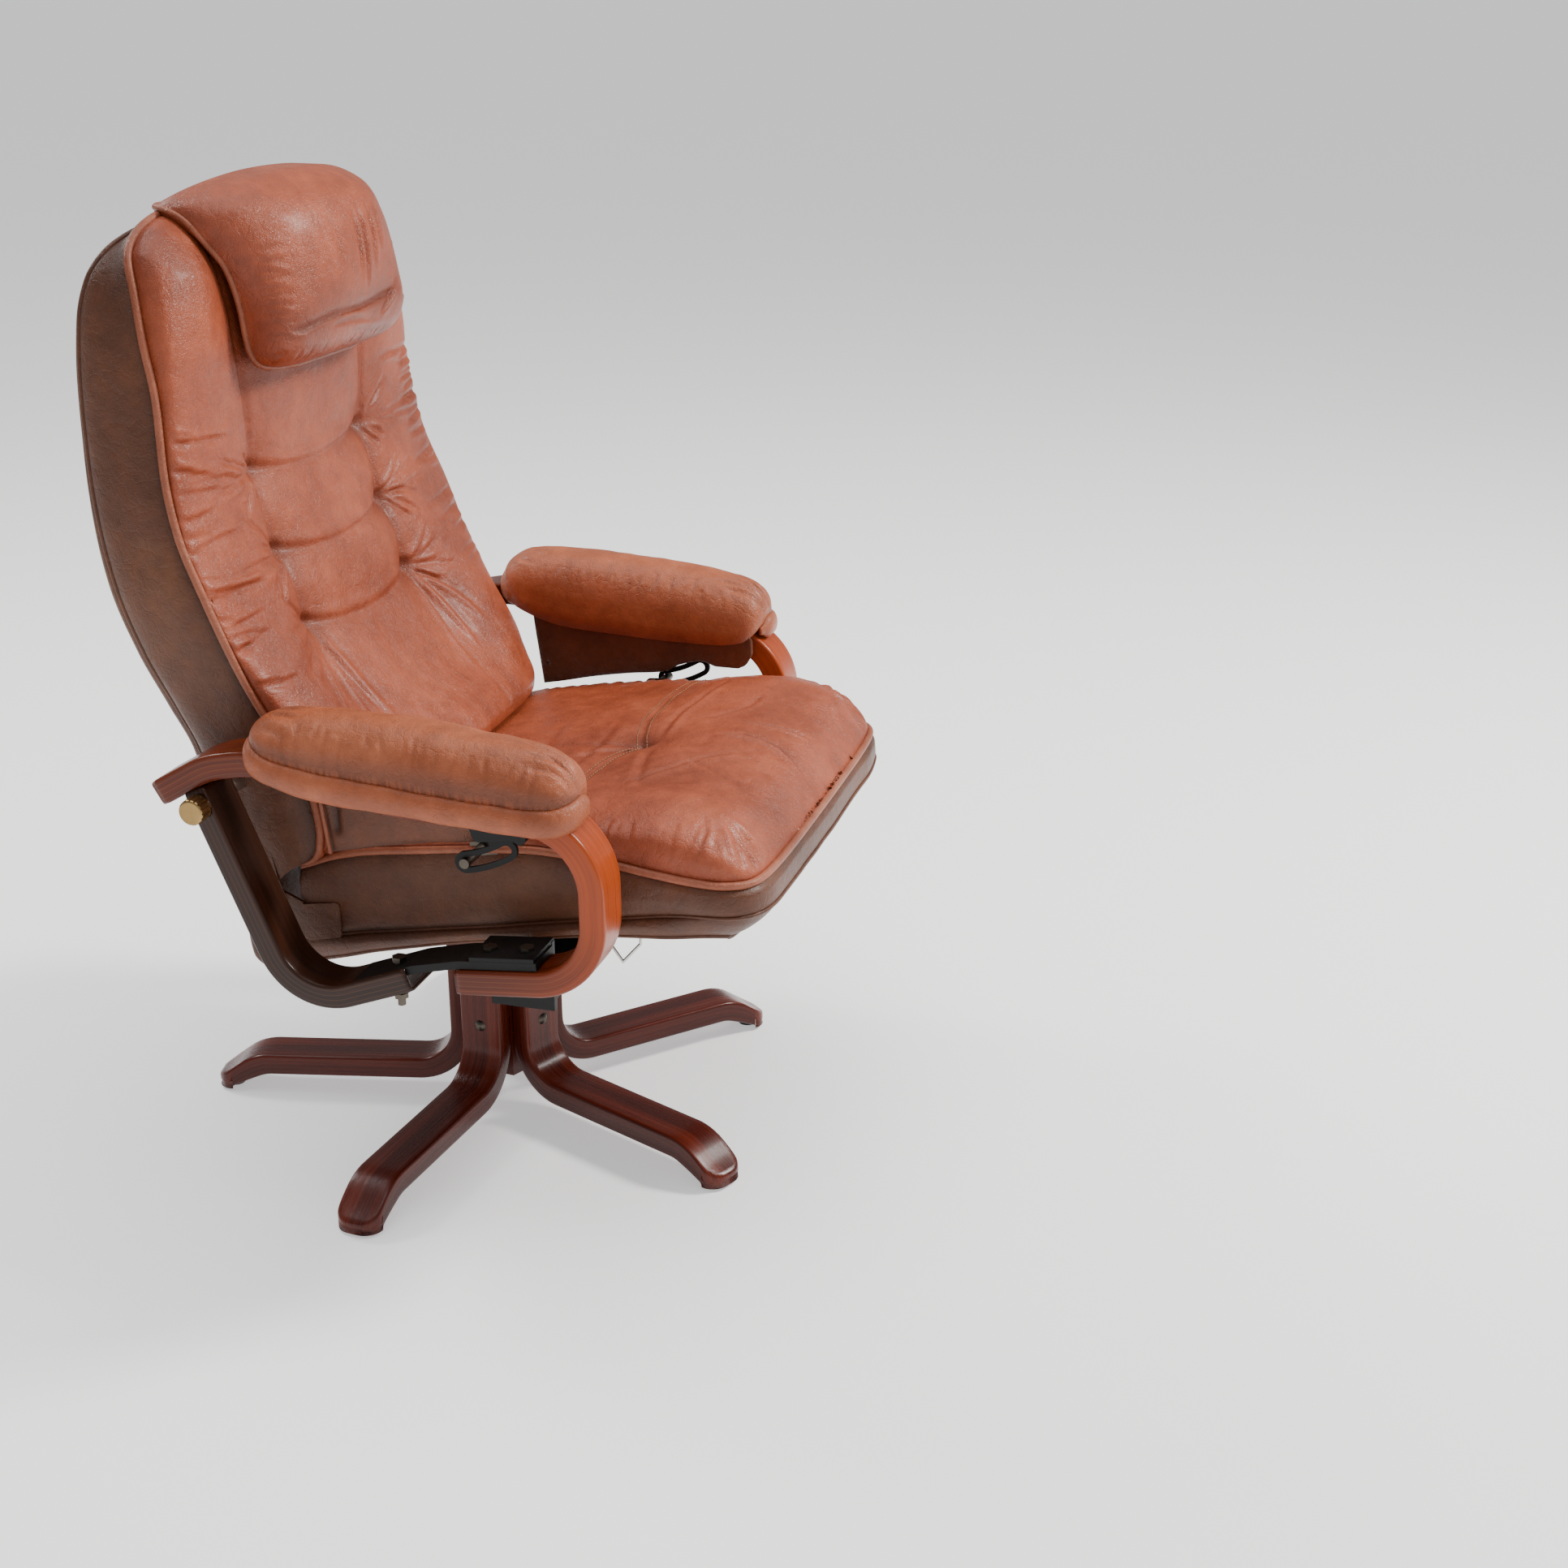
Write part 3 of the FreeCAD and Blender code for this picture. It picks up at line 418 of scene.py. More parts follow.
def path_frames(points, closed=False):
    """Tangent, side and up at each point of a path, carried along without twisting."""
    points = np.asarray(points, float)
    ahead = np.roll(points, -1, axis=0) - np.roll(points, 1, axis=0)
    if not closed:
        ahead[0] = points[1] - points[0]
        ahead[-1] = points[-1] - points[-2]
    ahead /= np.linalg.norm(ahead, axis=1)[:, None]
    side = np.zeros_like(points)
    guess = np.array([0.0, 0.0, 1.0]) if abs(ahead[0][2]) < 0.9 else np.array([1.0, 0.0, 0.0])
    for i, tangent in enumerate(ahead):
        guess = guess - tangent * guess.dot(tangent)
        guess /= np.linalg.norm(guess)
        side[i] = guess
    return ahead, side, np.cross(ahead, side)


def make_tube(name, points, radius, material, segments=12, closed=False):
    """A round cord, such as piping, along a path."""
    points = np.asarray(points, float)
    ahead, side, up = path_frames(points, closed)
    radii = np.broadcast_to(np.asarray(radius, float), (len(points),))[:, None, None]
    angles = np.linspace(0, 2 * np.pi, segments, endpoint=False)
    ring = np.cos(angles)[None, :, None] * side[:, None, :] + np.sin(angles)[None, :, None] * up[:, None, :]
    verts = points[:, None, :] + ring * radii
    if closed:
        verts = np.concatenate([verts, verts[:1]])
    return make_grid(name, verts, material, wrap=True, caps=not closed)


def make_stitches(name, points, normals, pitch=0.0055, length=0.0036, radius=0.00055):
    """A row of small raised stitches along a path."""
    points = np.asarray(points, float)
    normals = np.asarray(normals, float)
    run = run_length(points)
    verts, faces = [], []
    sides = 6
    for centre in np.arange(pitch / 2, run[-1], pitch):
        for k, shift in enumerate((-0.5, -0.3, 0.3, 0.5)):
            at = [np.interp(centre + shift * length, run, points[:, c]) for c in range(3)]
            up = np.array([np.interp(centre, run, normals[:, c]) for c in range(3)])
            nxt = [np.interp(centre + 0.001 + shift * length, run, points[:, c]) for c in range(3)]
            ahead = np.array(nxt) - np.array(at)
            ahead /= max(np.linalg.norm(ahead), 1e-9)
            up /= max(np.linalg.norm(up), 1e-9)
            side = np.cross(ahead, up)
            lift = radius * (0.9 if k in (1, 2) else -0.6)
            for q in range(sides):
                angle = 2 * math.pi * q / sides
                rise = up * (lift + radius * math.sin(angle))
                verts.append(np.array(at) + rise + side * radius * math.cos(angle))
            if k:
                base = len(verts) - 2 * sides
                for q in range(sides):
                    r = (q + 1) % sides
                    faces.append((base + q, base + r, base + sides + r, base + sides + q))
        end = len(verts) - 4 * sides
        faces.append(tuple(end + q for q in reversed(range(sides))))
        faces.append(tuple(end + 3 * sides + q for q in range(sides)))
    return make_object(name, verts, faces, THREAD)


def rumple(points, scale, seed=0.0):
    """Smooth noise from -1 to 1 at each point."""
    flat = np.asarray(points, float).reshape(-1, 3) * scale + seed
    values = np.array([noise.noise(Vector(p)) for p in flat])
    return values.reshape(np.asarray(points).shape[:-1])


def bell(distance, width):
    return np.exp(-(distance / width) ** 2)


def step(value, low, high):
    t = np.clip((value - low) / (high - low), 0, 1)
    return t * t * (3 - 2 * t)


def folds(a, b, lines):
    """Sum of wrinkles, each (start, end, width, depth, bow): a valley with a ridge beside it."""
    total = np.zeros(np.broadcast(a, b).shape)
    for (a0, b0), (a1, b1), width, depth, bow in lines:
        length = math.hypot(a1 - a0, b1 - b0)
        ra, rb = (a1 - a0) / length, (b1 - b0) / length
        t = ((a - a0) * ra + (b - b0) * rb) / length
        across = (b - b0) * ra - (a - a0) * rb - bow * 4 * t * (1 - t)
        taper = step(t, -0.10, 0.22) * (1 - step(t, 0.62, 1.06))
        total += depth * taper * (bell(across, width) - 0.6 * bell(across - 1.7 * width, 1.2 * width))
    return total


def softer_least(value, limit, blend):
    """The lesser of two numbers with a rounded changeover."""
    mix = min(max(0.5 + 0.5 * (limit - value) / blend, 0), 1)
    return limit * (1 - mix) + value * mix - blend * mix * (1 - mix)


# cushion profiles, from the middle (0) to the edge (1)
ROLL_ACROSS = [(0, 0), (0.5, 0.54), (0.7, 0.765), (0.8, 0.885), (0.87, 0.955), (0.92, 0.992), (0.96, 1.004),
               (1, 1)]
ROLL_RISE = [(0, 1), (0.5, 0.985), (0.7, 0.93), (0.8, 0.82), (0.87, 0.68), (0.92, 0.50), (0.96, 0.27), (1, 0)]
ROUND_RISE = [(0, 1), (0.5, 0.90), (0.7, 0.74), (0.8, 0.58), (0.87, 0.42), (0.92, 0.28), (0.96, 0.14), (1, 0)]


def roll_across(u):
    return np.sign(u) * smooth(ROLL_ACROSS, np.abs(u))


def finish_piece(obj, body, nodes=()):
    """Say which body a piece rides on and what it stands for."""
    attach(obj, body)
    if nodes:
        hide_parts(*nodes)
    return obj


# ---------------------------------------------------------------- bent wood
def rounded_path(corners, radii, step_length=0.004):
    """Points along straight runs joined by arcs."""
    corners = [np.array(c, float) for c in corners]
    points = [corners[0]]
    for a, b, c, radius in zip(corners, corners[1:], corners[2:], radii):
        u = (a - b) / np.linalg.norm(a - b)
        w = (c - b) / np.linalg.norm(c - b)
        half = math.acos(float(np.clip(u.dot(w), -1, 1))) / 2
        start = b + u * radius / math.tan(half)
        bisector = (u + w) / np.linalg.norm(u + w)
        centre = b + bisector * radius / math.sin(half)
        sweep = math.pi - 2 * half
        turn = math.copysign(1, u[1] * w[0] - u[0] * w[1])
        count = max(3, int(radius * sweep / step_length))
        first = start - centre
        for i in range(count + 1):
            angle = turn * sweep * i / count
            points.append(centre + np.array([first[0] * math.cos(angle) - first[1] * math.sin(angle),
                                             first[0] * math.sin(angle) + first[1] * math.cos(angle)]))
    points.append(corners[-1])
    dense = [points[0]]
    for a, b in zip(points, points[1:]):
        pieces = max(1, int(np.linalg.norm(b - a) / (step_length * 2)))
        dense += [a + (b - a) * i / pieces for i in range(1, pieces + 1)]
    dense = np.array(dense)
    keep = np.concatenate([[True], np.linalg.norm(np.diff(dense, axis=0), axis=1) > 1e-5])
    return dense[keep]


def strip_section(width, thick, corner, steps=5):
    """A rounded rectangle as (across, layer) points."""
    points = []
    for sx, sy, start in ((1, 1, 0), (-1, 1, 90), (-1, -1, 180), (1, -1, 270)):
        for i in range(steps + 1):
            angle = math.radians(start + 90 * i / steps)
            points.append((sx * (width / 2 - corner) + corner * math.cos(angle),
                           sy * (thick / 2 - corner) + corner * math.sin(angle)))
    ring = []
    for a, b in zip(points, points[1:] + points[:1]):
        ring.append(a)
        pieces = int(math.dist(a, b) / 0.004)
        for i in range(1, pieces):
            ring.append((a[0] + (b[0] - a[0]) * i / pieces, a[1] + (b[1] - a[1]) * i / pieces))
    return np.array(ring)


def make_strip(name, corners, radii, width, thick, material, to_row, end_round=0.004, sun=lambda flat: 0.0):
    """A bentwood strip: a rounded section swept along a side path, with eased ends.

    to_row turns (across, forward, up) into a point of the row, and sun says how much painted light falls on a
    spot.
    """
    path = rounded_path(corners, radii)
    ahead = np.gradient(path, axis=0)
    ahead /= np.linalg.norm(ahead, axis=1)[:, None]
    normal = np.stack([-ahead[:, 1], ahead[:, 0]], axis=1)
    run = run_length(path)
    section = strip_section(width, thick, SECTION_CORNER)
    ease = [0.0, 0.25, 0.6, 1.0]
    stations = [(0, -(1 - e)) for e in ease[:-1]] + [(i, None) for i in range(len(path))]
    stations += [(len(path) - 1, 1 - e) for e in reversed(ease[:-1])]
    verts, layers, across, edges, alongs, painted_lights = [], [], [], [], [], []
    for index, end in stations:
        base = path[index]
        shrink = 0.0
        if end is not None:
            angle = abs(end) * math.pi / 2
            shrink = end_round * (1 - math.cos(angle))
            base = path[index] + ahead[index] * math.copysign(end_round * math.sin(angle) - end_round, end)
        elif index in (0, len(path) - 1):
            base = path[index] + ahead[index] * (end_round if index == 0 else -end_round)
        for a, l in section:
            painted_lights.append(sun(base))
            a2 = a - math.copysign(min(abs(a), shrink), a)
            l2 = l - math.copysign(min(abs(l), shrink), l)
            flat = base + normal[index] * l2
            verts.append(to_row(a2, flat[0], flat[1]))
            across.append(a)
            layers.append(l)
            edges.append(1.0 if abs(a) > width / 2 - 0.0015 or end is not None else 0.0)
            alongs.append(run[index])
    rows = len(stations)
    cols = len(section)
    faces = grid_faces(rows, cols, True)
    faces.append(tuple(reversed(range(cols))))
    faces.append(tuple((rows - 1) * cols + j for j in range(cols)))
    return clean(make_object(name, verts, faces, material, {
        "along": alongs, "across": across, "layer": layers, "edge": edges, "sun": painted_lights}))


SECTION_CORNER = 0.0036
STRIP_X = 0.313
STRIP_WIDTH = 0.050
ARM_THICK = 0.026
REAR_THICK = 0.025
ARM_PATH = [(-0.203, 0.468), (-0.150, 0.499), (-0.095, 0.510), (0.040, 0.481), (0.238, 0.477),
            (0.239, 0.318), (0.099, 0.305)]
ARM_RADII = [0.090, 0.150, 0.220, 0.070, 0.066]
REAR_PATH = [(-0.1645, 0.4742), (-0.076, 0.254), (0.047, 0.3007)]
REAR_RADII = [0.062]
LEG_COUNT = 5
LEG_FIRST_ANGLE = 48.15
LEG_WIDTH = 0.050
LEG_THICK = 0.025
LEG_PATH = [(0.0475, 0.250), (0.0475, 0.036), (0.281, 0.035), (0.350, 0.0078)]
LEG_RADII = [0.052, 0.050]
LEG_TIP = 0.337
LEG_TIP_CORNER = 0.019
GLIDE_THICK = 0.003


def arm_painted_light(flat):
    """How much painted light falls on a spot: most on the front bend of the arm."""
    return 0.12 + 0.88 * float(step(flat[0], 0.10, 0.235) * (0.35 + 0.65 * step(flat[1], 0.30, 0.40)))


def leg_point(across, out, up, angle):
    """A leg's sections, with the toe rounded at its tip and flat underneath."""
    past = max(abs(across) - (LEG_WIDTH / 2 - LEG_TIP_CORNER), 0)
    tip = LEG_TIP - LEG_TIP_CORNER + math.sqrt(max(LEG_TIP_CORNER ** 2 - past ** 2, 0))
    out = softer_least(out, tip, 0.010)
    up = up * (1 - 0.32 * float(step(out, 0.296, LEG_TIP)))
    up = -softer_least(-up, -GLIDE_THICK, 0.004)
    return (out * math.sin(angle) + across * math.cos(angle),
            AXIS_Y - out * math.cos(angle) + across * math.sin(angle), up)


def make_wood():
    for side, name in ((1, "left"), (-1, "right")):
        def to_row(across, forward, up, side=side):
            return (side * (STRIP_X + across), AXIS_Y - forward, up)
        arm = make_strip("arm_bend_" + name, ARM_PATH, ARM_RADII, STRIP_WIDTH, ARM_THICK, BENTWOOD, to_row,
                         sun=arm_painted_light)
        finish_piece(arm, "chair_frame", ["arm_strip_" + name])
        rear = make_strip("rear_bend_" + name, REAR_PATH, REAR_RADII, STRIP_WIDTH, REAR_THICK, SHADED_WOOD,
                          to_row)
        finish_piece(rear, "chair_frame", ["rear_strip_" + name])
    for number in range(LEG_COUNT):
        angle = math.radians(LEG_FIRST_ANGLE + number * 360 / LEG_COUNT)
        leg = make_strip("leg_bend_%d" % (number + 1), LEG_PATH, LEG_RADII, LEG_WIDTH, LEG_THICK, MAHOGANY,
                         lambda across, out, up: leg_point(across, out, up, angle))
        finish_piece(leg, "base", ["leg_%d" % (number + 1)])


# ---------------------------------------------------------------- backrest
# stations from below the front roll up to the top:
# edge up, half width, edge forward, middle forward, middle up
BACK_ROWS = [(0.374, 0.250, -0.104, -0.112, 0.393), (0.378, 0.251, -0.090, -0.085, 0.4055),
             (0.384, 0.2515, -0.083, -0.050, 0.4135), (0.394, 0.252, -0.079, -0.028, 0.4190),
             (0.410, 0.252, -0.0775, -0.0165, 0.4245), (0.428, 0.252, -0.079, -0.0145, 0.434),
             (0.448, 0.2525, -0.083, -0.024, 0.450), (0.468, 0.254, -0.091, -0.046, 0.469),
             (0.500, 0.256, -0.106, -0.080, 0.500), (0.530, 0.261, -0.122, -0.104, 0.530),
             (0.566, 0.268, -0.137, -0.127, 0.566), (0.600, 0.272, -0.150, -0.142, 0.600),
             (0.647, 0.274, -0.168, -0.158, 0.647), (0.708, 0.271, -0.192, -0.179, 0.708),
             (0.759, 0.266, -0.203, -0.186, 0.759), (0.834, 0.257, -0.210, -0.189, 0.834),
             (0.885, 0.251, -0.221, -0.193, 0.885), (0.930, 0.240, -0.232, -0.201, 0.930),
             (0.963, 0.228, -0.242, -0.212, 0.963), (0.984, 0.195, -0.247, -0.223, 0.984),
             (0.994, 0.146, -0.250, -0.234, 0.994), (0.999, 0.078, -0.251, -0.243, 0.999),
             (1.000, 0.0, -0.251, -0.2505, 1.000)]
BACK_ROLL = [(0.45, 0.0), (0.50, 0.016), (0.53, 0.018), (0.566, 0.016), (0.605, 0.006), (0.64, 0.001),
             (0.80, 0.001), (0.834, 0.004), (0.90, 0.013), (0.94, 0.014), (0.97, 0.008), (1.0, 0.0)]
# the rear welt: up, half width, forward of the welt, forward of the rear face
REAR_ROWS = [(0.336, 0.243, -0.146, -0.189), (0.394, 0.246, -0.176, -0.202), (0.444, 0.248, -0.198, -0.216),
             (0.482, 0.252, -0.204, -0.224), (0.528, 0.258, -0.222, -0.246), (0.585, 0.266, -0.247, -0.269),
             (0.649, 0.269, -0.268, -0.289), (0.714, 0.267, -0.281, -0.299), (0.777, 0.262, -0.288, -0.303),
             (0.850, 0.256, -0.291, -0.303), (0.905, 0.250, -0.289, -0.299), (0.943, 0.242, -0.280, -0.290),
             (0.968, 0.222, -0.268, -0.278), (0.984, 0.175, -0.256, -0.267), (0.993, 0.095, -0.249, -0.258),
             (0.996, 0.0, -0.246, -0.2465)]
SIDE_SWELL = [(0.33, 0.014), (0.38, 0.018), (0.50, 0.014), (0.56, 0.010), (0.9, 0.009), (1.0, 0.004)]
# middle to side, up, depth
TUFTS = [(0.122, 0.741, 0.013), (0.122, 0.658, 0.019), (0.120, 0.582, 0.019)]


BACK_SEAM = [(0.34, 0.100), (0.45, 0.106), (0.582, 0.120), (0.741, 0.124), (0.86, 0.132), (1.0, 0.140)]
TOP_SKIN = 0.004
BORDER_SKIN = 0.003
PIPING_RADIUS = 0.0040


def back_fold_lines():
    """Wrinkles pulled out of the tufts and gathered along the piping."""
    dice = np.random.default_rng(7)
    lines = []
    for side in (-1, 1):
        for tx, tz, _ in TUFTS:
            turns = np.radians(np.array([-50, -30, -12, 6, 24, 42]) + dice.uniform(-6, 6, 6))
            for turn in turns:
                near = dice.uniform(0.005, 0.010)
                reach = dice.uniform(0.050, 0.115) * (1 - 0.35 * abs(turn))
                start = (side * (tx + near * math.cos(turn)), tz + near * math.sin(turn))
                end = (side * (tx + reach * math.cos(turn)), tz + reach * math.sin(turn) * 0.8)
                lines.append((start, end, dice.uniform(0.0028, 0.0044), dice.uniform(0.0018, 0.0036),
                              dice.uniform(-0.004, 0.004)))
        for up in dice.uniform(0.560, 0.815, 26):
            edge = float(smooth([(r[0], r[1]) for r in BACK_ROWS[:-1]], up))
            reach = dice.uniform(0.3, 1.0) ** 2 * 0.095
            rise = dice.uniform(-0.012, 0.004)
            lines.append(((side * (edge + 0.002), up), (side * (edge - 0.012 - reach), up + rise),
                          dice.uniform(0.0022, 0.0042), dice.uniform(0.0010, 0.0030),
                          dice.uniform(-0.002, 0.002)))
        lines.append(((side * 0.121, 0.574), (side * 0.136, 0.485), 0.0050, -0.0042, side * 0.004))
        lines.append(((side * 0.128, 0.574), (side * 0.176, 0.505), 0.0050, -0.0036, side * 0.006))
        lines.append(((side * 0.112, 0.570), (side * 0.098, 0.470), 0.0060, -0.0026, 0.0))
    return lines


def back_relief(x, up):
    """Depth of seams, tufts and creases on the back's front, in metres (positive is in)."""
    ax = np.abs(x)
    seam = ax - smooth(BACK_SEAM, up)
    depth = 0.0034 * bell(seam, 0.0055) + 0.0040 * bell(seam, 0.030)
    depth = depth * (0.30 + 0.70 * step(up, 0.46, 0.58))
    for tx, tz, deep in TUFTS:
        r = np.hypot(ax - tx, up - tz)
        depth = depth + deep * (0.34 * bell(r, 0.009) + 0.38 * bell(r, 0.030))
        for side in (-1, 1):
            sag = 0.012 * (1 - (x / tx) ** 2) + 0.003 * side * x / tx
            inside = step(tx + 0.004 - ax, 0.0, 0.012)
            strength = 0.5 * (0.50 + 0.50 * np.abs(x / tx) ** 1.5)
            line = up - tz + sag
            depth = depth + inside * strength * (0.0052 * bell(line, 0.0048) + 0.0050 * bell(line, 0.024)
                                                 - 0.0016 * bell(line - 0.010, 0.006))
    return depth


def make_back_front():
    rows, cols = 380, 301
    stations = smooth_path(BACK_ROWS, rows)
    edge_up, half, edge, middle, middle_up = stations.T[..., None]
    u = np.linspace(-1, 1, cols)[None, :]
    x = half * roll_across(u)
    rolled = step(edge_up, 0.45, 0.52)
    rise = smooth(ROUND_RISE, np.abs(u)) * (1 - rolled) + smooth(ROLL_RISE, np.abs(u)) * rolled
    up = edge_up + (middle_up - edge_up) * rise
    roll = smooth(BACK_ROLL, edge_up) * smooth(ROLL_RISE, np.abs(u)) * step(np.abs(u), 0.42, 0.74)
    border = (1 - np.abs(u)) * half
    fade = step(border, 0.0, 0.018) * step(edge_up, 0.40, 0.44)
    flat = place(x, 0, up)
    wander = 0.004 * rumple(flat, 14.0, 11.0)
    relief = back_relief(x, up) * fade
    pulls = folds(x, up + wander, back_fold_lines()) * fade
    lumps = rumple(flat, 10.0, 5.0)
    small = rumple(flat, 32.0, 9.0)
    forward = edge + (middle - edge) * rise + roll - relief - pulls + (0.0026 * lumps + 0.0009 * small) * fade
    # painted shade in the seams, tufts and fold valleys, carried by the crease attribute
    depth = np.clip((relief + 0.35 * pulls) / 0.015, 0, 1) ** 1.8 * 0.55
    # painted highlight on raised lumps and fold ridges
    worn = np.clip(0.30 * lumps - 90 * pulls, 0, 1) * 0.45
    panel = make_leather("back_front_leather", place(x, forward, up), TOP_LEATHER, depth, worn)
    finish_piece(thicken(panel, TOP_SKIN), "backrest", ["back_cushion"])
    line = smooth_path(BACK_ROWS, 240)
    out = line[:, 1] + 0.0030 * step(line[:, 1], 0.0, 0.05)
    loop = mirrored_loop(out, line[:, 2] - 0.0012, line[:, 0])
    finish_piece(make_tube("back_piping", loop, PIPING_RADIUS, PIPING_LEATHER), "backrest")


def make_back_cover():
    """Side borders, rear panel and the lower skirt of the back."""
    rows, cols = 240, 26
    front_up, front_half, front = smooth_path(BACK_ROWS, rows).T[:3, :, None]
    rear = smooth_path(REAR_ROWS, rows)
    rear_up, rear_half, welt, face = rear.T[..., None]
    t = np.linspace(0, 1, cols)[None, :]
    for side, name in ((-1, "right"), (1, "left")):
        swell = smooth(SIDE_SWELL, front_up) * step(front_half, 0.0, 0.10)
        half = front_half * (1 - t) + rear_half * t + swell * (1 - np.abs(2 * t - 1) ** 3) ** 0.6
        forward = front * (1 - t) + welt * t
        up = front_up * (1 - t) + rear_up * t
        up = up + 0.007 * np.sin(np.pi * t) * step(front_up, 0.93, 0.99)
        pts = place(side * half, forward, up)
        pts[..., 0] += side * rumple(pts, 16.0, 3.0) * 0.0016 * np.sin(np.pi * t)
        shade = bell(t, 0.10) * 0.8 + bell(t - 1, 0.05) * 0.6
        border = make_leather("back_border_" + name, pts, BORDER_LEATHER, shade)
        finish_piece(thicken(border, BORDER_SKIN), "backrest")
    angle = np.linspace(0, math.pi, 121)[None, :]
    across = np.sign(np.cos(angle)) * np.abs(np.cos(angle)) ** 0.34
    reach = np.abs(np.sin(angle)) ** 0.55
    swell = 0.010 * (1 - across ** 2)
    forward = welt + (face - welt) * reach - swell * step(rear_half, 0.0, 0.15)
    pts = place(rear_half * across, forward, rear_up)
    pts[..., 1] += 0.0025 * rumple(pts, 7.0, 2.0) * reach
    # painted shade along the rear panel's sides, next to the welts
    cover = make_leather("back_rear_cover", pts, BORDER_LEATHER, bell(reach, 0.12) * 0.6)
    finish_piece(thicken(cover, BORDER_SKIN), "backrest", ["back_shell"])
    loop = mirrored_loop(rear[:, 1], rear[:, 2], rear[:, 0])
    finish_piece(make_tube("back_rear_welt", loop, 0.0028, BORDER_LEATHER), "backrest")
    make_back_skirt()


def make_back_skirt():
    """The closed lower end of the back, hanging behind the seat."""
    # up, half width, front face, rear face
    table = [(0.239, 0.226, -0.146, -0.166), (0.243, 0.233, -0.1415, -0.176), (0.256, 0.238, -0.141, -0.185),
             (0.303, 0.241, -0.140, -0.188), (0.345, 0.243, -0.139, -0.190)]
    rows, cols = 40, 160
    line = smooth_path(table, rows)
    angle = np.linspace(0, 2 * math.pi, cols, endpoint=False)[None, :]
    up, half, front, rear = line.T[..., None]
    c, s = np.cos(angle), np.sin(angle)
    x = half * np.sign(c) * np.abs(c) ** 0.25
    forward = (front + rear) / 2 + (front - rear) / 2 * np.sign(s) * np.abs(s) ** 0.4
    pts = place(x, forward, up)
    pts[..., 1] += 0.003 * rumple(pts, 9.0, 4.0)
    skirt = make_leather("back_skirt", pts, BORDER_LEATHER, wrap=True, caps=True)
    finish_piece(skirt, "backrest")


# ---------------------------------------------------------------- head pillow
# stations from the lower front edge over the top:
# half width, edge forward, edge up, middle forward, middle up
PILLOW_ROWS = [(0.060, -0.169, 0.8375, -0.168, 0.8375), (0.108, -0.172, 0.842, -0.152, 0.843),
               (0.129, -0.175, 0.849, -0.138, 0.852), (0.136, -0.179, 0.864, -0.126, 0.868),
               (0.138, -0.183, 0.900, -0.118, 0.902), (0.143, -0.186, 0.925, -0.117, 0.938),
               (0.149, -0.190, 0.944, -0.120, 0.968), (0.157, -0.203, 0.966, -0.130, 0.994),
               (0.163, -0.217, 0.985, -0.152, 1.014), (0.163, -0.231, 0.994, -0.190, 1.0265),
               (0.160, -0.245, 0.998, -0.222, 1.0265), (0.152, -0.257, 0.999, -0.248, 1.015),
               (0.140, -0.263, 0.999, -0.2625, 1.001)]


def pillow_fold_lines():
    dice = np.random.default_rng(31)
    lines = [((0.002, 1.012), (-0.004, 0.912), 0.0040, 0.0030, 0.002),
             ((0.019, 1.014), (0.012, 0.903), 0.0042, 0.0036, -0.003),
             ((0.037, 1.008), (0.035, 0.922), 0.0040, 0.0028, 0.002),
             ((0.056, 1.000), (0.058, 0.940), 0.0045, 0.0020, 0.0),
             ((-0.050, 0.995), (-0.044, 0.930), 0.0060, 0.0016, 0.003),
             ((-0.060, 0.880), (0.020, 0.872), 0.0036, 0.0022, 0.003),
             ((-0.020, 0.868), (0.070, 0.858), 0.0036, 0.0020, -0.002),
             ((0.090, 0.905), (0.045, 0.875), 0.0040, 0.0024, 0.003)]
    for side in (-1, 1):
        for up in np.arange(0.856, 0.965, 0.0085):
            up = up + dice.uniform(-0.002, 0.002)
            reach = dice.uniform(0.010, 0.026)
            lines.append(((side * 0.138, up), (side * (0.136 - reach), up + dice.uniform(-0.006, 0.006)),
                          dice.uniform(0.0022, 0.0032), dice.uniform(0.0010, 0.0022), 0.0))
    for spot in np.arange(-0.11, 0.12, 0.013):
        spot = spot + dice.uniform(-0.004, 0.004)
        lines.append(((spot, 0.842), (spot + dice.uniform(-0.006, 0.006), 0.842 + dice.uniform(0.010, 0.022)),
                      0.0028, dice.uniform(0.0010, 0.0020), 0.0))
    return lines


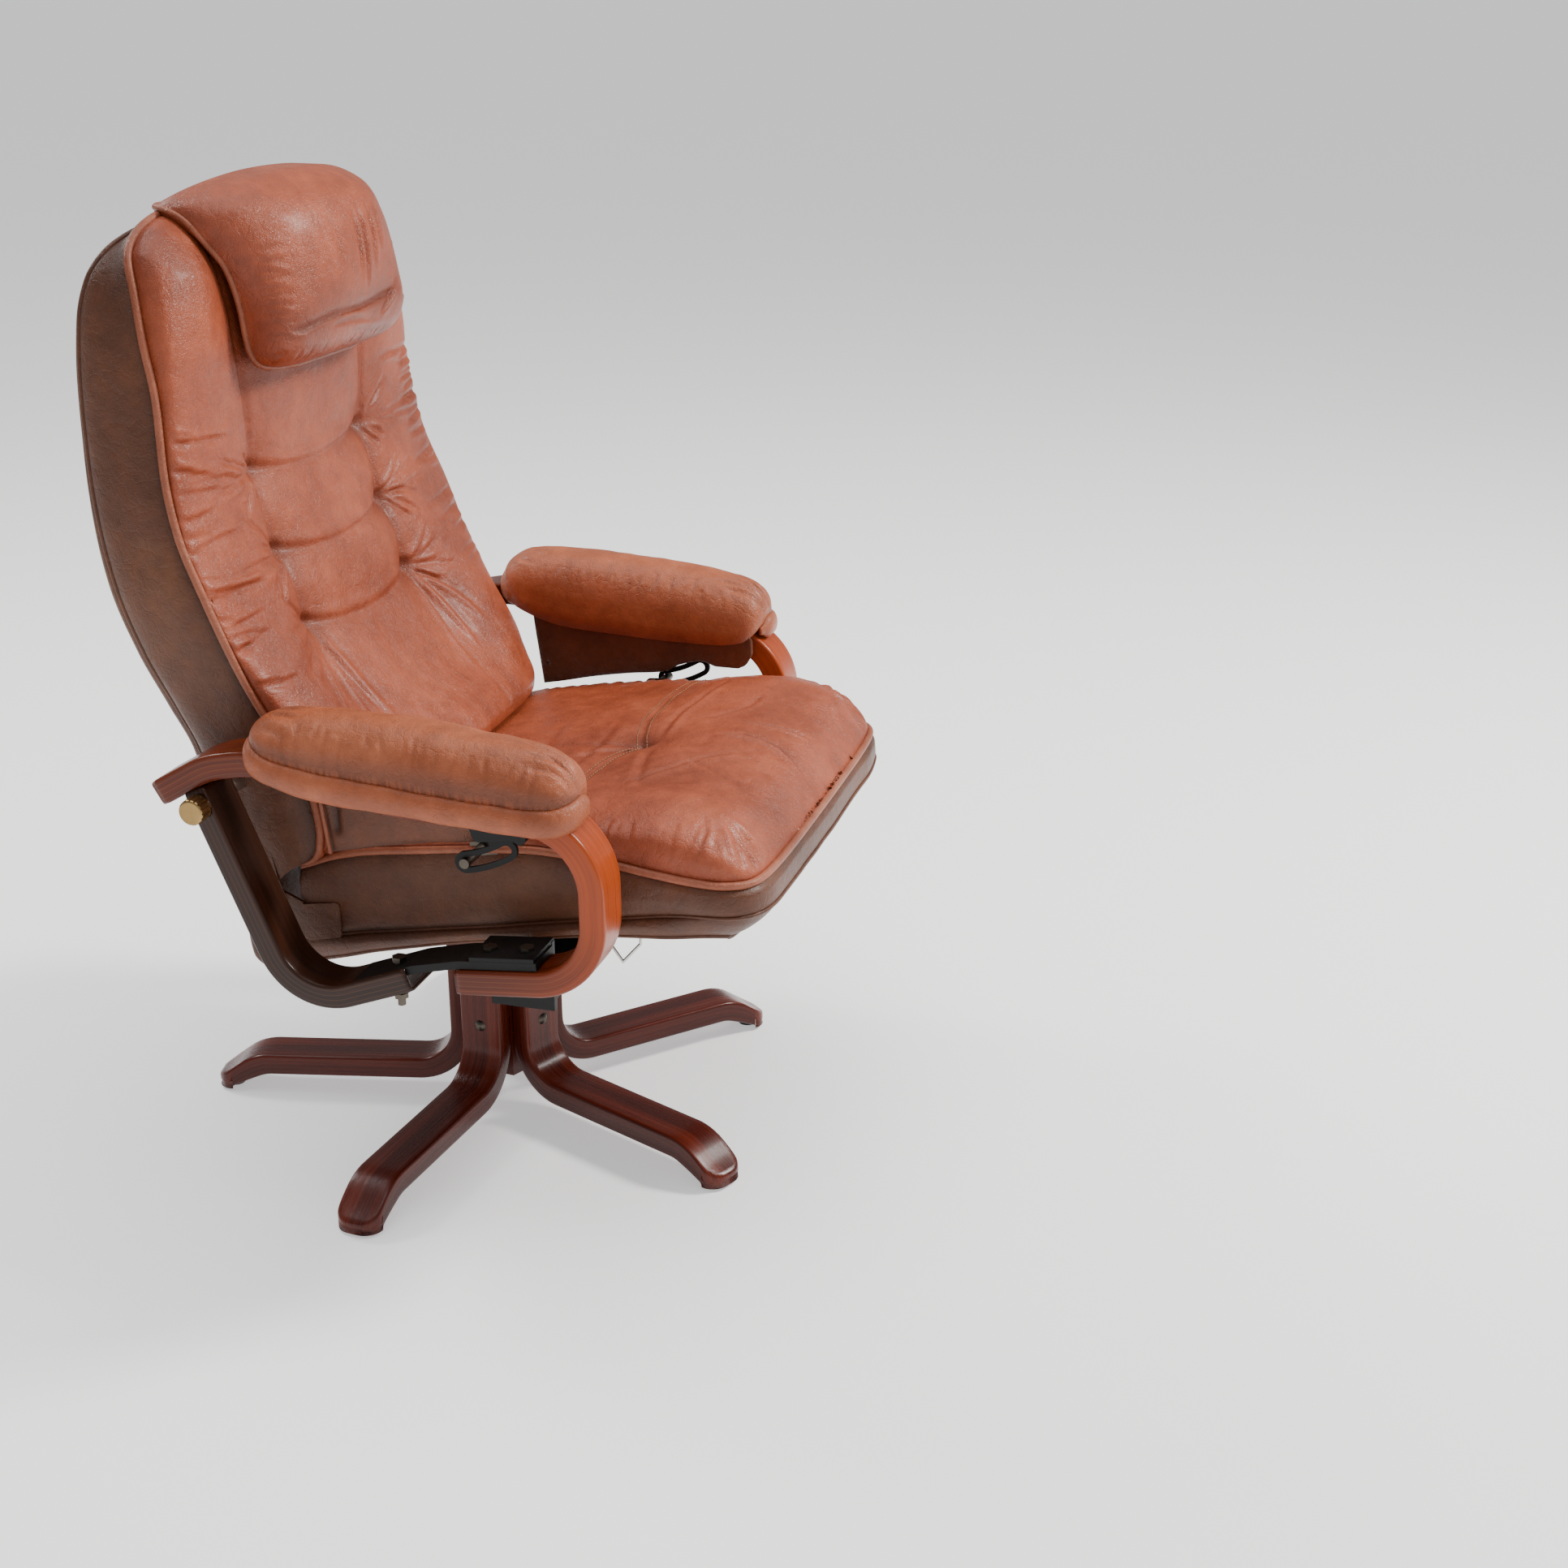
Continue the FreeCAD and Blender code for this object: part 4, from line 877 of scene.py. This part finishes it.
def make_pillow():
    rows, cols = 200, 181
    line = smooth_path(PILLOW_ROWS, rows)
    u = np.linspace(-1, 1, cols)[None, :]
    half, ef, eu, mf, mu = line.T[..., None]
    rolled = smooth(ROLL_RISE, np.abs(u))
    arched = np.sqrt(1 - u * u)
    blend = step(eu, 0.87, 0.962)
    rise = rolled * (1 - blend) + arched * blend
    x = half * (roll_across(u) * (1 - blend) + u * blend)
    t = np.linspace(0, 1, rows)[:, None]
    forward = ef + (mf - ef) * rise
    up = eu + (mu - eu) * rise
    border = (1 - np.abs(u)) * half
    flat = np.stack([x, 0 * x, up], -1)
    crease_up = 0.893 + 0.06 * x - 0.25 * x * x + 0.004 * rumple(flat, 16.0)
    crease = 0.0042 * bell(up - crease_up, 0.0040) + 0.0030 * bell(up - crease_up, 0.016)
    crease = crease * (1 - step(np.abs(x + 0.02), 0.085, 0.125))
    pulls = folds(x, up + 0.002 * rumple(flat, 22.0, 4.0), pillow_fold_lines())
    front = 1 - step(t, 0.50, 0.62)
    depth = (crease + pulls) * step(border, 0.0, 0.010) * front
    lumps = 0.0030 * rumple(np.stack([x, forward, up], -1), 13.0, 8.0) * rise
    forward = forward - depth + lumps
    up = up - 0.4 * depth
    top = place(x, forward, up)
    behind = place(half * u, ef - 0.003, eu - 0.008 * step(t, 0.55, 0.8))
    both = np.concatenate([top, behind[:, ::-1]], axis=1)
    shade = np.clip(depth / 0.008, 0, 1) * 0.7
    shade = np.concatenate([shade, 0 * shade], axis=1)
    pillow = make_leather("head_pillow_leather", both, TOP_LEATHER, shade, wrap=True, caps=True)
    finish_piece(pillow, "backrest", ["head_pillow"])
    left = place(-line[:, 0], line[:, 1], line[:, 2])
    right = place(line[:, 0], line[:, 1], line[:, 2])
    bottom = np.linspace(left[0], right[0], 30)[1:-1]
    top_edge = np.linspace(right[-1], left[-1], 40)[1:-1]
    loop = np.concatenate([left[::-1], bottom, right, top_edge])
    piping = make_tube("head_pillow_piping", loop, 0.0032, PIPING_LEATHER, closed=True)
    finish_piece(piping, "backrest")


# ---------------------------------------------------------------- seat
# stations from the rear to the front: forward, half width, piping up, middle up
SEAT_ROWS = [(-0.104, 0.246, 0.368, 0.396), (-0.036, 0.252, 0.393, 0.413), (0.030, 0.256, 0.404, 0.424),
             (0.073, 0.257, 0.410, 0.431), (0.114, 0.258, 0.415, 0.438), (0.154, 0.258, 0.418, 0.445),
             (0.194, 0.258, 0.4165, 0.450), (0.233, 0.2575, 0.412, 0.454), (0.272, 0.2565, 0.406, 0.455),
             (0.311, 0.2545, 0.401, 0.449), (0.335, 0.2515, 0.399, 0.439), (0.350, 0.2455, 0.3985, 0.427),
             (0.360, 0.236, 0.398, 0.416), (0.3665, 0.220, 0.398, 0.409), (0.3695, 0.198, 0.398, 0.405),
             (0.3715, 0.160, 0.398, 0.402), (0.3725, 0.100, 0.398, 0.400), (0.3730, 0.0, 0.398, 0.3985)]
SEAT_ROLL = [(0.15, 0.0), (0.20, 0.005), (0.27, 0.010), (0.32, 0.010), (0.36, 0.003), (0.37, 0.0)]
SEAT_SEAM = [(-0.12, 0.289), (0.064, 0.323), (0.134, 0.336), (0.252, 0.357), (0.320, 0.366), (0.38, 0.368)]
SEAT_LOW = [(-0.12, 0.257), (-0.010, 0.288), (0.114, 0.315), (0.242, 0.334), (0.308, 0.337), (0.38, 0.329)]
SEAT_TUFT = (0.0, 0.172)


def seat_seam_forward(x):
    return smooth([(0.0, 0.172), (0.03, 0.162), (0.084, 0.153), (0.15, 0.152), (0.26, 0.166)], np.abs(x))


def seat_fold_lines():
    """Creases across the seat and puckers inside the front corners."""
    dice = np.random.default_rng(12)
    lines = [((0.013, 0.258), (-0.007, 0.356), 0.0040, 0.0050, -0.010),
             ((0.060, 0.262), (0.075, 0.345), 0.0036, 0.0032, 0.007),
             ((0.020, 0.185), (0.210, 0.214), 0.0050, 0.0030, -0.012),
             ((-0.020, 0.190), (-0.170, 0.232), 0.0050, 0.0022, 0.008),
             ((0.070, 0.225), (0.150, 0.262), 0.0045, 0.0024, 0.010),
             ((-0.150, 0.205), (-0.020, 0.305), 0.0050, 0.0026, -0.012),
             ((-0.100, 0.120), (0.090, 0.118), 0.0060, 0.0018, 0.006),
             ((-0.130, 0.045), (0.120, 0.050), 0.0080, 0.0016, 0.010),
             ((-0.060, 0.240), (-0.120, 0.330), 0.0045, 0.0020, 0.006),
             ((-0.010, 0.172), (-0.055, 0.105), 0.0040, 0.0020, 0.003)]
    for side in (-1, 1):
        for turn in np.radians(np.arange(-8, 100, 7.5)):
            turn = turn + dice.uniform(-0.05, 0.05)
            far = (0.205 + 0.050 * math.cos(turn), 0.315 + 0.054 * math.sin(turn))
            reach = dice.uniform(0.018, 0.048)
            near = (far[0] - reach * math.cos(turn), far[1] - reach * math.sin(turn))
            lines.append(((side * far[0], far[1]), (side * near[0], near[1]), dice.uniform(0.003, 0.0045),
                          dice.uniform(0.0016, 0.0032), dice.uniform(-0.002, 0.002)))
        for forward in np.arange(-0.05, 0.30, 0.019):
            forward = forward + dice.uniform(-0.006, 0.006)
            reach = dice.uniform(0.015, 0.035)
            lines.append(((side * 0.262, forward),
                          (side * (0.258 - reach), forward + dice.uniform(-0.008, 0.008)),
                          0.0035, dice.uniform(0.0008, 0.0018), 0.0))
    return lines


def seat_relief(x, forward):
    r = np.hypot(x - SEAT_TUFT[0], forward - SEAT_TUFT[1])
    depth = 0.006 * bell(r, 0.010) + 0.006 * bell(r, 0.042)
    line = forward - seat_seam_forward(x)
    depth = depth + 0.0024 * bell(line, 0.0045) + 0.0024 * bell(line, 0.026)
    rear = step(SEAT_TUFT[1] - forward, 0.0, 0.02)
    return depth + rear * (0.0020 * bell(x, 0.0045) + 0.0018 * bell(x, 0.024))


def seat_outline(count):
    """The piping loop from the rear right round the front to the rear left, with outward normals."""
    line = smooth_path(SEAT_ROWS, count)
    right = np.stack([-line[:, 1], line[:, 0], line[:, 2]], 1)
    left = np.stack([line[:, 1], line[:, 0], line[:, 2]], 1)[::-1][1:]
    loop = np.concatenate([right, left])
    ahead = np.gradient(loop[:, :2], axis=0)
    ahead /= np.linalg.norm(ahead, axis=1)[:, None]
    outward = np.stack([-ahead[:, 1], ahead[:, 0]], 1)
    return loop, outward


def seat_height(u, forward, edge, middle):
    """Height of the seat without its seams: a crowned top with fuller rolls at the sides."""
    rise = smooth(ROLL_RISE, np.abs(u))
    roll = smooth(SEAT_ROLL, forward) * rise * step(np.abs(u), 0.42, 0.74)
    return edge + (middle - edge) * rise + roll


def make_seat_top():
    rows, cols = 340, 301
    stations = smooth_path(SEAT_ROWS, rows)
    forward, half, edge, middle = stations.T[..., None]
    u = np.linspace(-1, 1, cols)[None, :]
    x = half * roll_across(u)
    forward = forward + 0 * x
    up = seat_height(u, forward, edge, middle)
    border = np.minimum((1 - np.abs(u)) * half, (0.373 - forward).clip(0))
    fade = step(border, 0.0, 0.012)
    relief = seat_relief(x, forward)
    flat = place(x, forward, 0 * x)
    pulls = folds(x, forward + 0.003 * rumple(flat, 15.0, 2.0), seat_fold_lines()) * step(border, 0.0, 0.016)
    lumps = rumple(flat, 10.0, 1.0)
    small = rumple(flat, 30.0, 6.0)
    up = up - relief * fade - pulls + (0.0030 * lumps + 0.0010 * small) * fade
    # painted shade in the tuft, seams and fold valleys, carried by the crease attribute
    shade = np.clip((relief * fade + 0.7 * pulls) / 0.010, 0, 1) ** 1.4 * 0.7
    # painted highlight on raised lumps and fold ridges
    worn = np.clip(0.35 * lumps - 110 * pulls, 0, 1) * 0.4
    top = make_leather("seat_top_leather", place(x, forward, up), TOP_LEATHER, shade, worn)
    finish_piece(thicken(top, TOP_SKIN), "seat", ["seat_cushion"])
    loop, outward = seat_outline(220)
    pipe = place(loop[:, 0] + 0.0025 * outward[:, 0], loop[:, 1] + 0.0025 * outward[:, 1], loop[:, 2])
    finish_piece(make_tube("seat_piping", pipe, PIPING_RADIUS, PIPING_LEATHER), "seat")
    make_seat_stitching()


def make_seat_stitching():
    """Two rows of stitches beside the seam across the seat."""
    spots = np.linspace(-0.238, 0.238, 240)
    stations = smooth_path(SEAT_ROWS, 400)
    for row, gap in enumerate((-0.0055, 0.0055)):
        forward = seat_seam_forward(spots) + gap
        half, edge, middle = (np.interp(forward, stations[:, 0], stations[:, k]) for k in (1, 2, 3))
        u = np.sign(spots) * np.interp(np.abs(spots) / half, [p[1] for p in ROLL_ACROSS[:-2]],
                                       [p[0] for p in ROLL_ACROSS[:-2]])
        flat = place(spots, forward, 0 * spots)
        up = seat_height(u, forward, edge, middle) - seat_relief(spots, forward)
        up = up + 0.0030 * rumple(flat, 10.0, 1.0) + 0.0010 * rumple(flat, 30.0, 6.0)
        points = place(spots, forward, up + 0.0002)
        normals = np.tile([0, 0, 1.0], (len(points), 1))
        stitch = make_stitches("seat_stitches_%d" % (row + 1), points, normals)
        finish_piece(stitch, "seat")


SEAT_UPPER_OUT = [(0.0, 0.0), (0.08, 0.0035), (0.25, 0.0065), (0.5, 0.0070), (0.75, 0.0045), (0.93, 0.001),
                  (1.0, -0.003)]
SEAT_LOWER_OUT = [(0.0, -0.003), (0.10, 0.0015), (0.35, 0.0035), (0.65, 0.001), (0.9, -0.005), (1.0, -0.009)]
SEAT_FRONT_OUT = [(0.0, 0.0), (0.15, 0.009), (0.35, 0.010), (0.6, 0.003), (0.8, -0.010), (1.0, -0.030)]


def make_seat_border():
    """The seat's leather side: an upper band and a lower band with a welt between them."""
    loop, outward = seat_outline(170)
    x, forward, z_top = loop.T[..., None]
    out_x, out_forward = outward.T[..., None]
    frontness = step(forward, 0.27, 0.37)
    z_seam = smooth(SEAT_SEAM, forward)
    z_low = smooth(SEAT_LOW, forward)
    t_up = np.linspace(0, 1, 26)
    t_low = np.linspace(0, 1, 18)[1:]
    z = np.concatenate([z_top + (z_seam - z_top) * t_up, z_seam + (z_low - z_seam) * t_low], 1)
    out = np.concatenate([smooth(SEAT_UPPER_OUT, t_up), smooth(SEAT_LOWER_OUT, t_low)])[None, :]
    front_out = smooth(SEAT_FRONT_OUT, (z_top - z) / (z_top - z_low))
    out = out * (1 - frontness) + front_out * frontness
    out = out + 0.004 * (1 - step(forward, -0.07, -0.03))
    pts = place(x + out_x * out, forward + out_forward * out, z)
    ripple = rumple(pts, 17.0, 7.0) * 0.0016
    pts[..., 0] += ripple * out_x
    pts[..., 1] -= ripple * out_forward
    column = np.concatenate([t_up, 1 + t_low])[None, :]
    shade = 0.7 * bell(column, 0.07) + 0.9 * bell(column - 1, 0.06) * (1 - 0.6 * frontness)
    border = make_leather("seat_border_leather", pts, BORDER_LEATHER, shade)
    finish_piece(thicken(border, BORDER_SKIN), "seat", ["seat_border"])
    low_edge = pts[:, -1]
    finish_piece(make_tube("seat_low_piping", low_edge, 0.0026, BORDER_LEATHER), "seat")
    proud = np.stack([outward[:, 0], -outward[:, 1], 0 * outward[:, 0]], 1) * 0.0008
    seam = pts[:, len(t_up) - 1] + proud
    finish_piece(make_tube("seat_band_welt", seam, 0.0020, BORDER_LEATHER), "seat")
    make_seat_under()


def make_seat_under():
    """Dust cloth under the seat and the leather panel across its rear."""
    forward = np.linspace(-0.100, 0.335, 60)[:, None]
    x = np.linspace(-0.244, 0.244, 60)[None, :]
    squeeze = 1 - 0.16 * step(forward, 0.27, 0.335)
    sag = 0.0012 * rumple(place(x, forward, 0), 14.0)
    points = place(x * squeeze, forward, smooth(SEAT_SEAM, forward) - 0.012 + sag)
    finish_piece(thicken(make_grid("seat_dust_cloth", points, DUST_CLOTH), 0.0015), "seat")
    v = np.linspace(0, 1, 24)[:, None]
    top_z = float(smooth([(r[0], r[2]) for r in SEAT_ROWS], -0.104))
    up = top_z + (0.262 - top_z) * v + (0.030 * (1 - v) * (1 - (x / 0.246) ** 2)).clip(0)
    rear = make_leather("seat_rear_leather", place(x, -0.104 + 0.006 * v, up), BORDER_LEATHER)
    finish_piece(thicken(rear, BORDER_SKIN), "seat")


# ---------------------------------------------------------------- arm pads
PAD_X = 0.3135
RIM_RADIUS = 0.0072
RIM_TALL = 1.9             # the rim's height over its width
RIM_DROP = 0.0090
# stations from the rear to the front: forward, half width, outer rim up, top up
PAD_ROWS = [(-0.104, 0.0, 0.536, 0.5365), (-0.102, 0.018, 0.532, 0.5435), (-0.094, 0.031, 0.527, 0.551),
            (-0.076, 0.0385, 0.521, 0.558), (-0.022, 0.041, 0.511, 0.562), (0.051, 0.0415, 0.506, 0.559),
            (0.100, 0.0415, 0.502, 0.555), (0.151, 0.0412, 0.499, 0.549), (0.188, 0.0395, 0.497, 0.541),
            (0.205, 0.036, 0.497, 0.534), (0.214, 0.030, 0.498, 0.526), (0.2195, 0.021, 0.499, 0.517),
            (0.222, 0.011, 0.500, 0.508), (0.2225, 0.0, 0.501, 0.5015)]
INNER_DROP = [(-0.106, 0.0), (-0.080, 0.020), (0.0, 0.028), (0.15, 0.024), (0.20, 0.018), (0.2225, 0.0)]


def pad_fold_lines():
    dice = np.random.default_rng(21)
    lines = []
    for spot in np.linspace(-0.030, 0.030, 7):
        lines.append(((spot * 0.45, 0.226),
                      (spot + dice.uniform(-0.004, 0.004), 0.226 - dice.uniform(0.03, 0.07)),
                      0.0030, dice.uniform(0.0016, 0.0030), dice.uniform(-0.003, 0.003)))
    for side in (-1, 1):
        for forward in np.arange(-0.07, 0.20, 0.013):
            forward = forward + dice.uniform(-0.004, 0.004)
            lines.append(((side * 0.043, forward), (side * (0.041 - dice.uniform(0.008, 0.020)),
                                                    forward + dice.uniform(-0.008, 0.008)),
                          0.0026, dice.uniform(0.0008, 0.0020), 0.0))
    for spot in np.linspace(-0.020, 0.028, 4):
        end = (spot * 1.5, -0.084 + dice.uniform(0.02, 0.045))
        lines.append(((spot, -0.084), end, 0.0034, 0.0020, 0.002))
    return lines


def make_arms():
    for side, name in ((1, "left"), (-1, "right")):
        make_arm_pad(side, name)
        make_arm_flap(side, name)


def make_arm_pad(side, name):
    """The pad's cushion, its thick outer rim and the leather that rolls down on the inner side."""
    rows, cols = 200, 101
    line = smooth_path(PAD_ROWS, rows)
    u = np.linspace(-1, 1, cols)[None, :]
    forward, half, rim, top = line.T[..., None]
    inner = step(-u, 0.35, 1.0)
    full = step(half, 0.0, 0.03)
    x = half * roll_across(u) - 0.006 * inner * full
    low = rim - 0.0035 * full - inner * smooth(INNER_DROP, forward)
    rise = np.sqrt(1 - np.abs(u) ** 2.6)
    up = low + (top - low) * rise
    forward = forward + 0 * x
    flat = place(x, forward, 0)
    edge = (1 - np.abs(u)) * half
    pulls = folds(x, forward + 0.002 * rumple(flat, 30.0), pad_fold_lines())
    lumps = 0.0020 * rumple(flat, 17.0, 12.0 + 3 * side)
    small = 0.0010 * rumple(flat, 46.0, 3.0)
    fade = step(edge, 0.0, 0.005)
    up = up + (lumps + small - pulls) * fade
    points = place(side * (PAD_X + x), forward, up)
    under = place(side * (PAD_X + half * u), forward, low - 0.004 * rise)
    both = np.concatenate([points, under[:, ::-1]], axis=1)
    shade = np.clip(pulls / 0.004, 0, 1) * 0.35 + 0.7 * bell(edge, 0.004) * (u > 0)
    shade = np.concatenate([shade, 0 * shade], axis=1)
    pad = make_leather("arm_pad_leather_" + name, both, PAD_LEATHER, shade, wrap=True)
    finish_piece(pad, "chair_frame", ["arm_pad_" + name])
    ring = smooth_path(PAD_ROWS, 140)
    outer, inside = (place(side * (PAD_X + out * ring[:, 1]), ring[:, 0], ring[:, 2] - 0.004)
                     for out in (1, -1))
    loop = np.concatenate([inside[1:24][::-1], outer, inside[-12:-1][::-1]])
    ends = np.minimum(np.arange(len(loop)), np.arange(len(loop))[::-1])
    thick = (RIM_RADIUS + 0.0010 * rumple(loop, 30.0, 2.0)) * (0.35 + 0.65 * step(ends, 0, 9))
    loop[:, 2] = (loop[:, 2] - RIM_DROP) / RIM_TALL
    roll = make_tube("arm_rim_" + name, loop, thick, PAD_LEATHER, segments=20)
    for vertex in roll.data.vertices:
        vertex.co.z *= RIM_TALL
    finish_piece(roll, "chair_frame")


FLAP_X = 0.2800
FLAP_REAR, FLAP_FRONT = -0.066, 0.212
FLAP_SLANT = 0.014
FLAP_HIGH = [(-0.066, 0.512), (0.04, 0.492), (0.196, 0.488), (0.212, 0.484)]
FLAP_LOW = [(-0.066, 0.402), (0.060, 0.424), (0.104, 0.430), (0.122, 0.440), (0.150, 0.446), (0.168, 0.441),
            (0.206, 0.441), (0.212, 0.452)]


def make_arm_flap(side, name):
    """The leather flap that hangs inside an arm, with its slot and its piped rear edge."""
    rows, cols = 120, 44
    forward = np.linspace(FLAP_REAR, FLAP_FRONT, rows)[:, None]
    t = np.linspace(0, 1, cols)[None, :]
    high = smooth(FLAP_HIGH, forward)
    low = smooth(FLAP_LOW, forward)
    up = low + (high - low) * t
    ends = np.sin(math.pi * ((forward - FLAP_REAR) / (FLAP_FRONT - FLAP_REAR)).clip(0, 1)) ** 0.35
    puff = 0.0056 * np.sin(math.pi * t).clip(0) ** 0.6 * ends
    forward = forward + FLAP_SLANT * (1 - t) * (1 - step(forward, FLAP_REAR, 0.030))
    forward = forward - 0.012 * np.abs(2 * t - 1) ** 5 * step(forward, 0.17, FLAP_FRONT)
    lumps = 0.0016 * rumple(place(FLAP_X, forward, up), 18.0, 5.0 + side)
    slot = bell(forward + 0.045, 0.0048) * step(up, 0.418, 0.428) * (1 - step(up, 0.470, 0.480))
    outer = place(side * (FLAP_X + puff + lumps - 0.004 * slot), forward, up)
    inner = place(side * (FLAP_X - puff - lumps), forward, up)
    both = np.concatenate([outer, inner[:, ::-1]], axis=1)
    # painted shade along the flap's lower edge, where it curves in, and in its slot
    hem_shade = 0.4 * bell(t, 0.06)
    shade = np.concatenate([hem_shade + 0.9 * slot, hem_shade[:, ::-1] + 0 * up], axis=1)
    flap = make_leather("arm_flap_leather_" + name, both, FLAP_LEATHER, shade, wrap=True, caps=True)
    finish_piece(flap, "chair_frame", ["arm_flap_" + name])
    edge_up = np.linspace(0.402, 0.478, 30)
    edge = place(side * 0.2850, FLAP_REAR + FLAP_SLANT * (0.512 - edge_up) / 0.110, edge_up)
    piping = make_tube("arm_flap_piping_" + name, edge, 0.0022, PIPING_LEATHER)
    finish_piece(piping, "chair_frame")


# ---------------------------------------------------------------- CAD nodes that stay
def dress_nodes():
    kinds = {
        "steel_black": BLACK_STEEL, "steel_bright": BRIGHT_STEEL, "brass_knob": BRASS, "webbing": WEBBING,
        "plastic_black": BLACK_PLASTIC, "mahogany_dark": MAHOGANY, "bentwood_red": BENTWOOD,
        "plywood_inner": PLYWOOD, "leather_top": TOP_LEATHER, "leather_border": BORDER_LEATHER}
    slots = {p["node"]: p["material_slot"] for p in frame["record"]["subparts"]}
    dark_bolts = ("frame_bolts", "leg_bolts", "hinge_pins", "guide_pin_left", "guide_pin_right")
    covered = ("back_bracket_left", "back_bracket_right", "seat_lug_left", "seat_lug_right")
    special = {**dict.fromkeys(dark_bolts, DARK_BOLTS), **dict.fromkeys(covered, BORDER_LEATHER)}
    for name, obj in frame["nodes"].items():
        for spot in obj.material_slots:
            spot.material = special.get(name) or kinds[slots[name]]


make_camera()
make_stage()
make_lights()
make_wood()
make_back_front()
make_back_cover()
make_pillow()
make_seat_top()
make_seat_border()
make_arms()
dress_nodes()
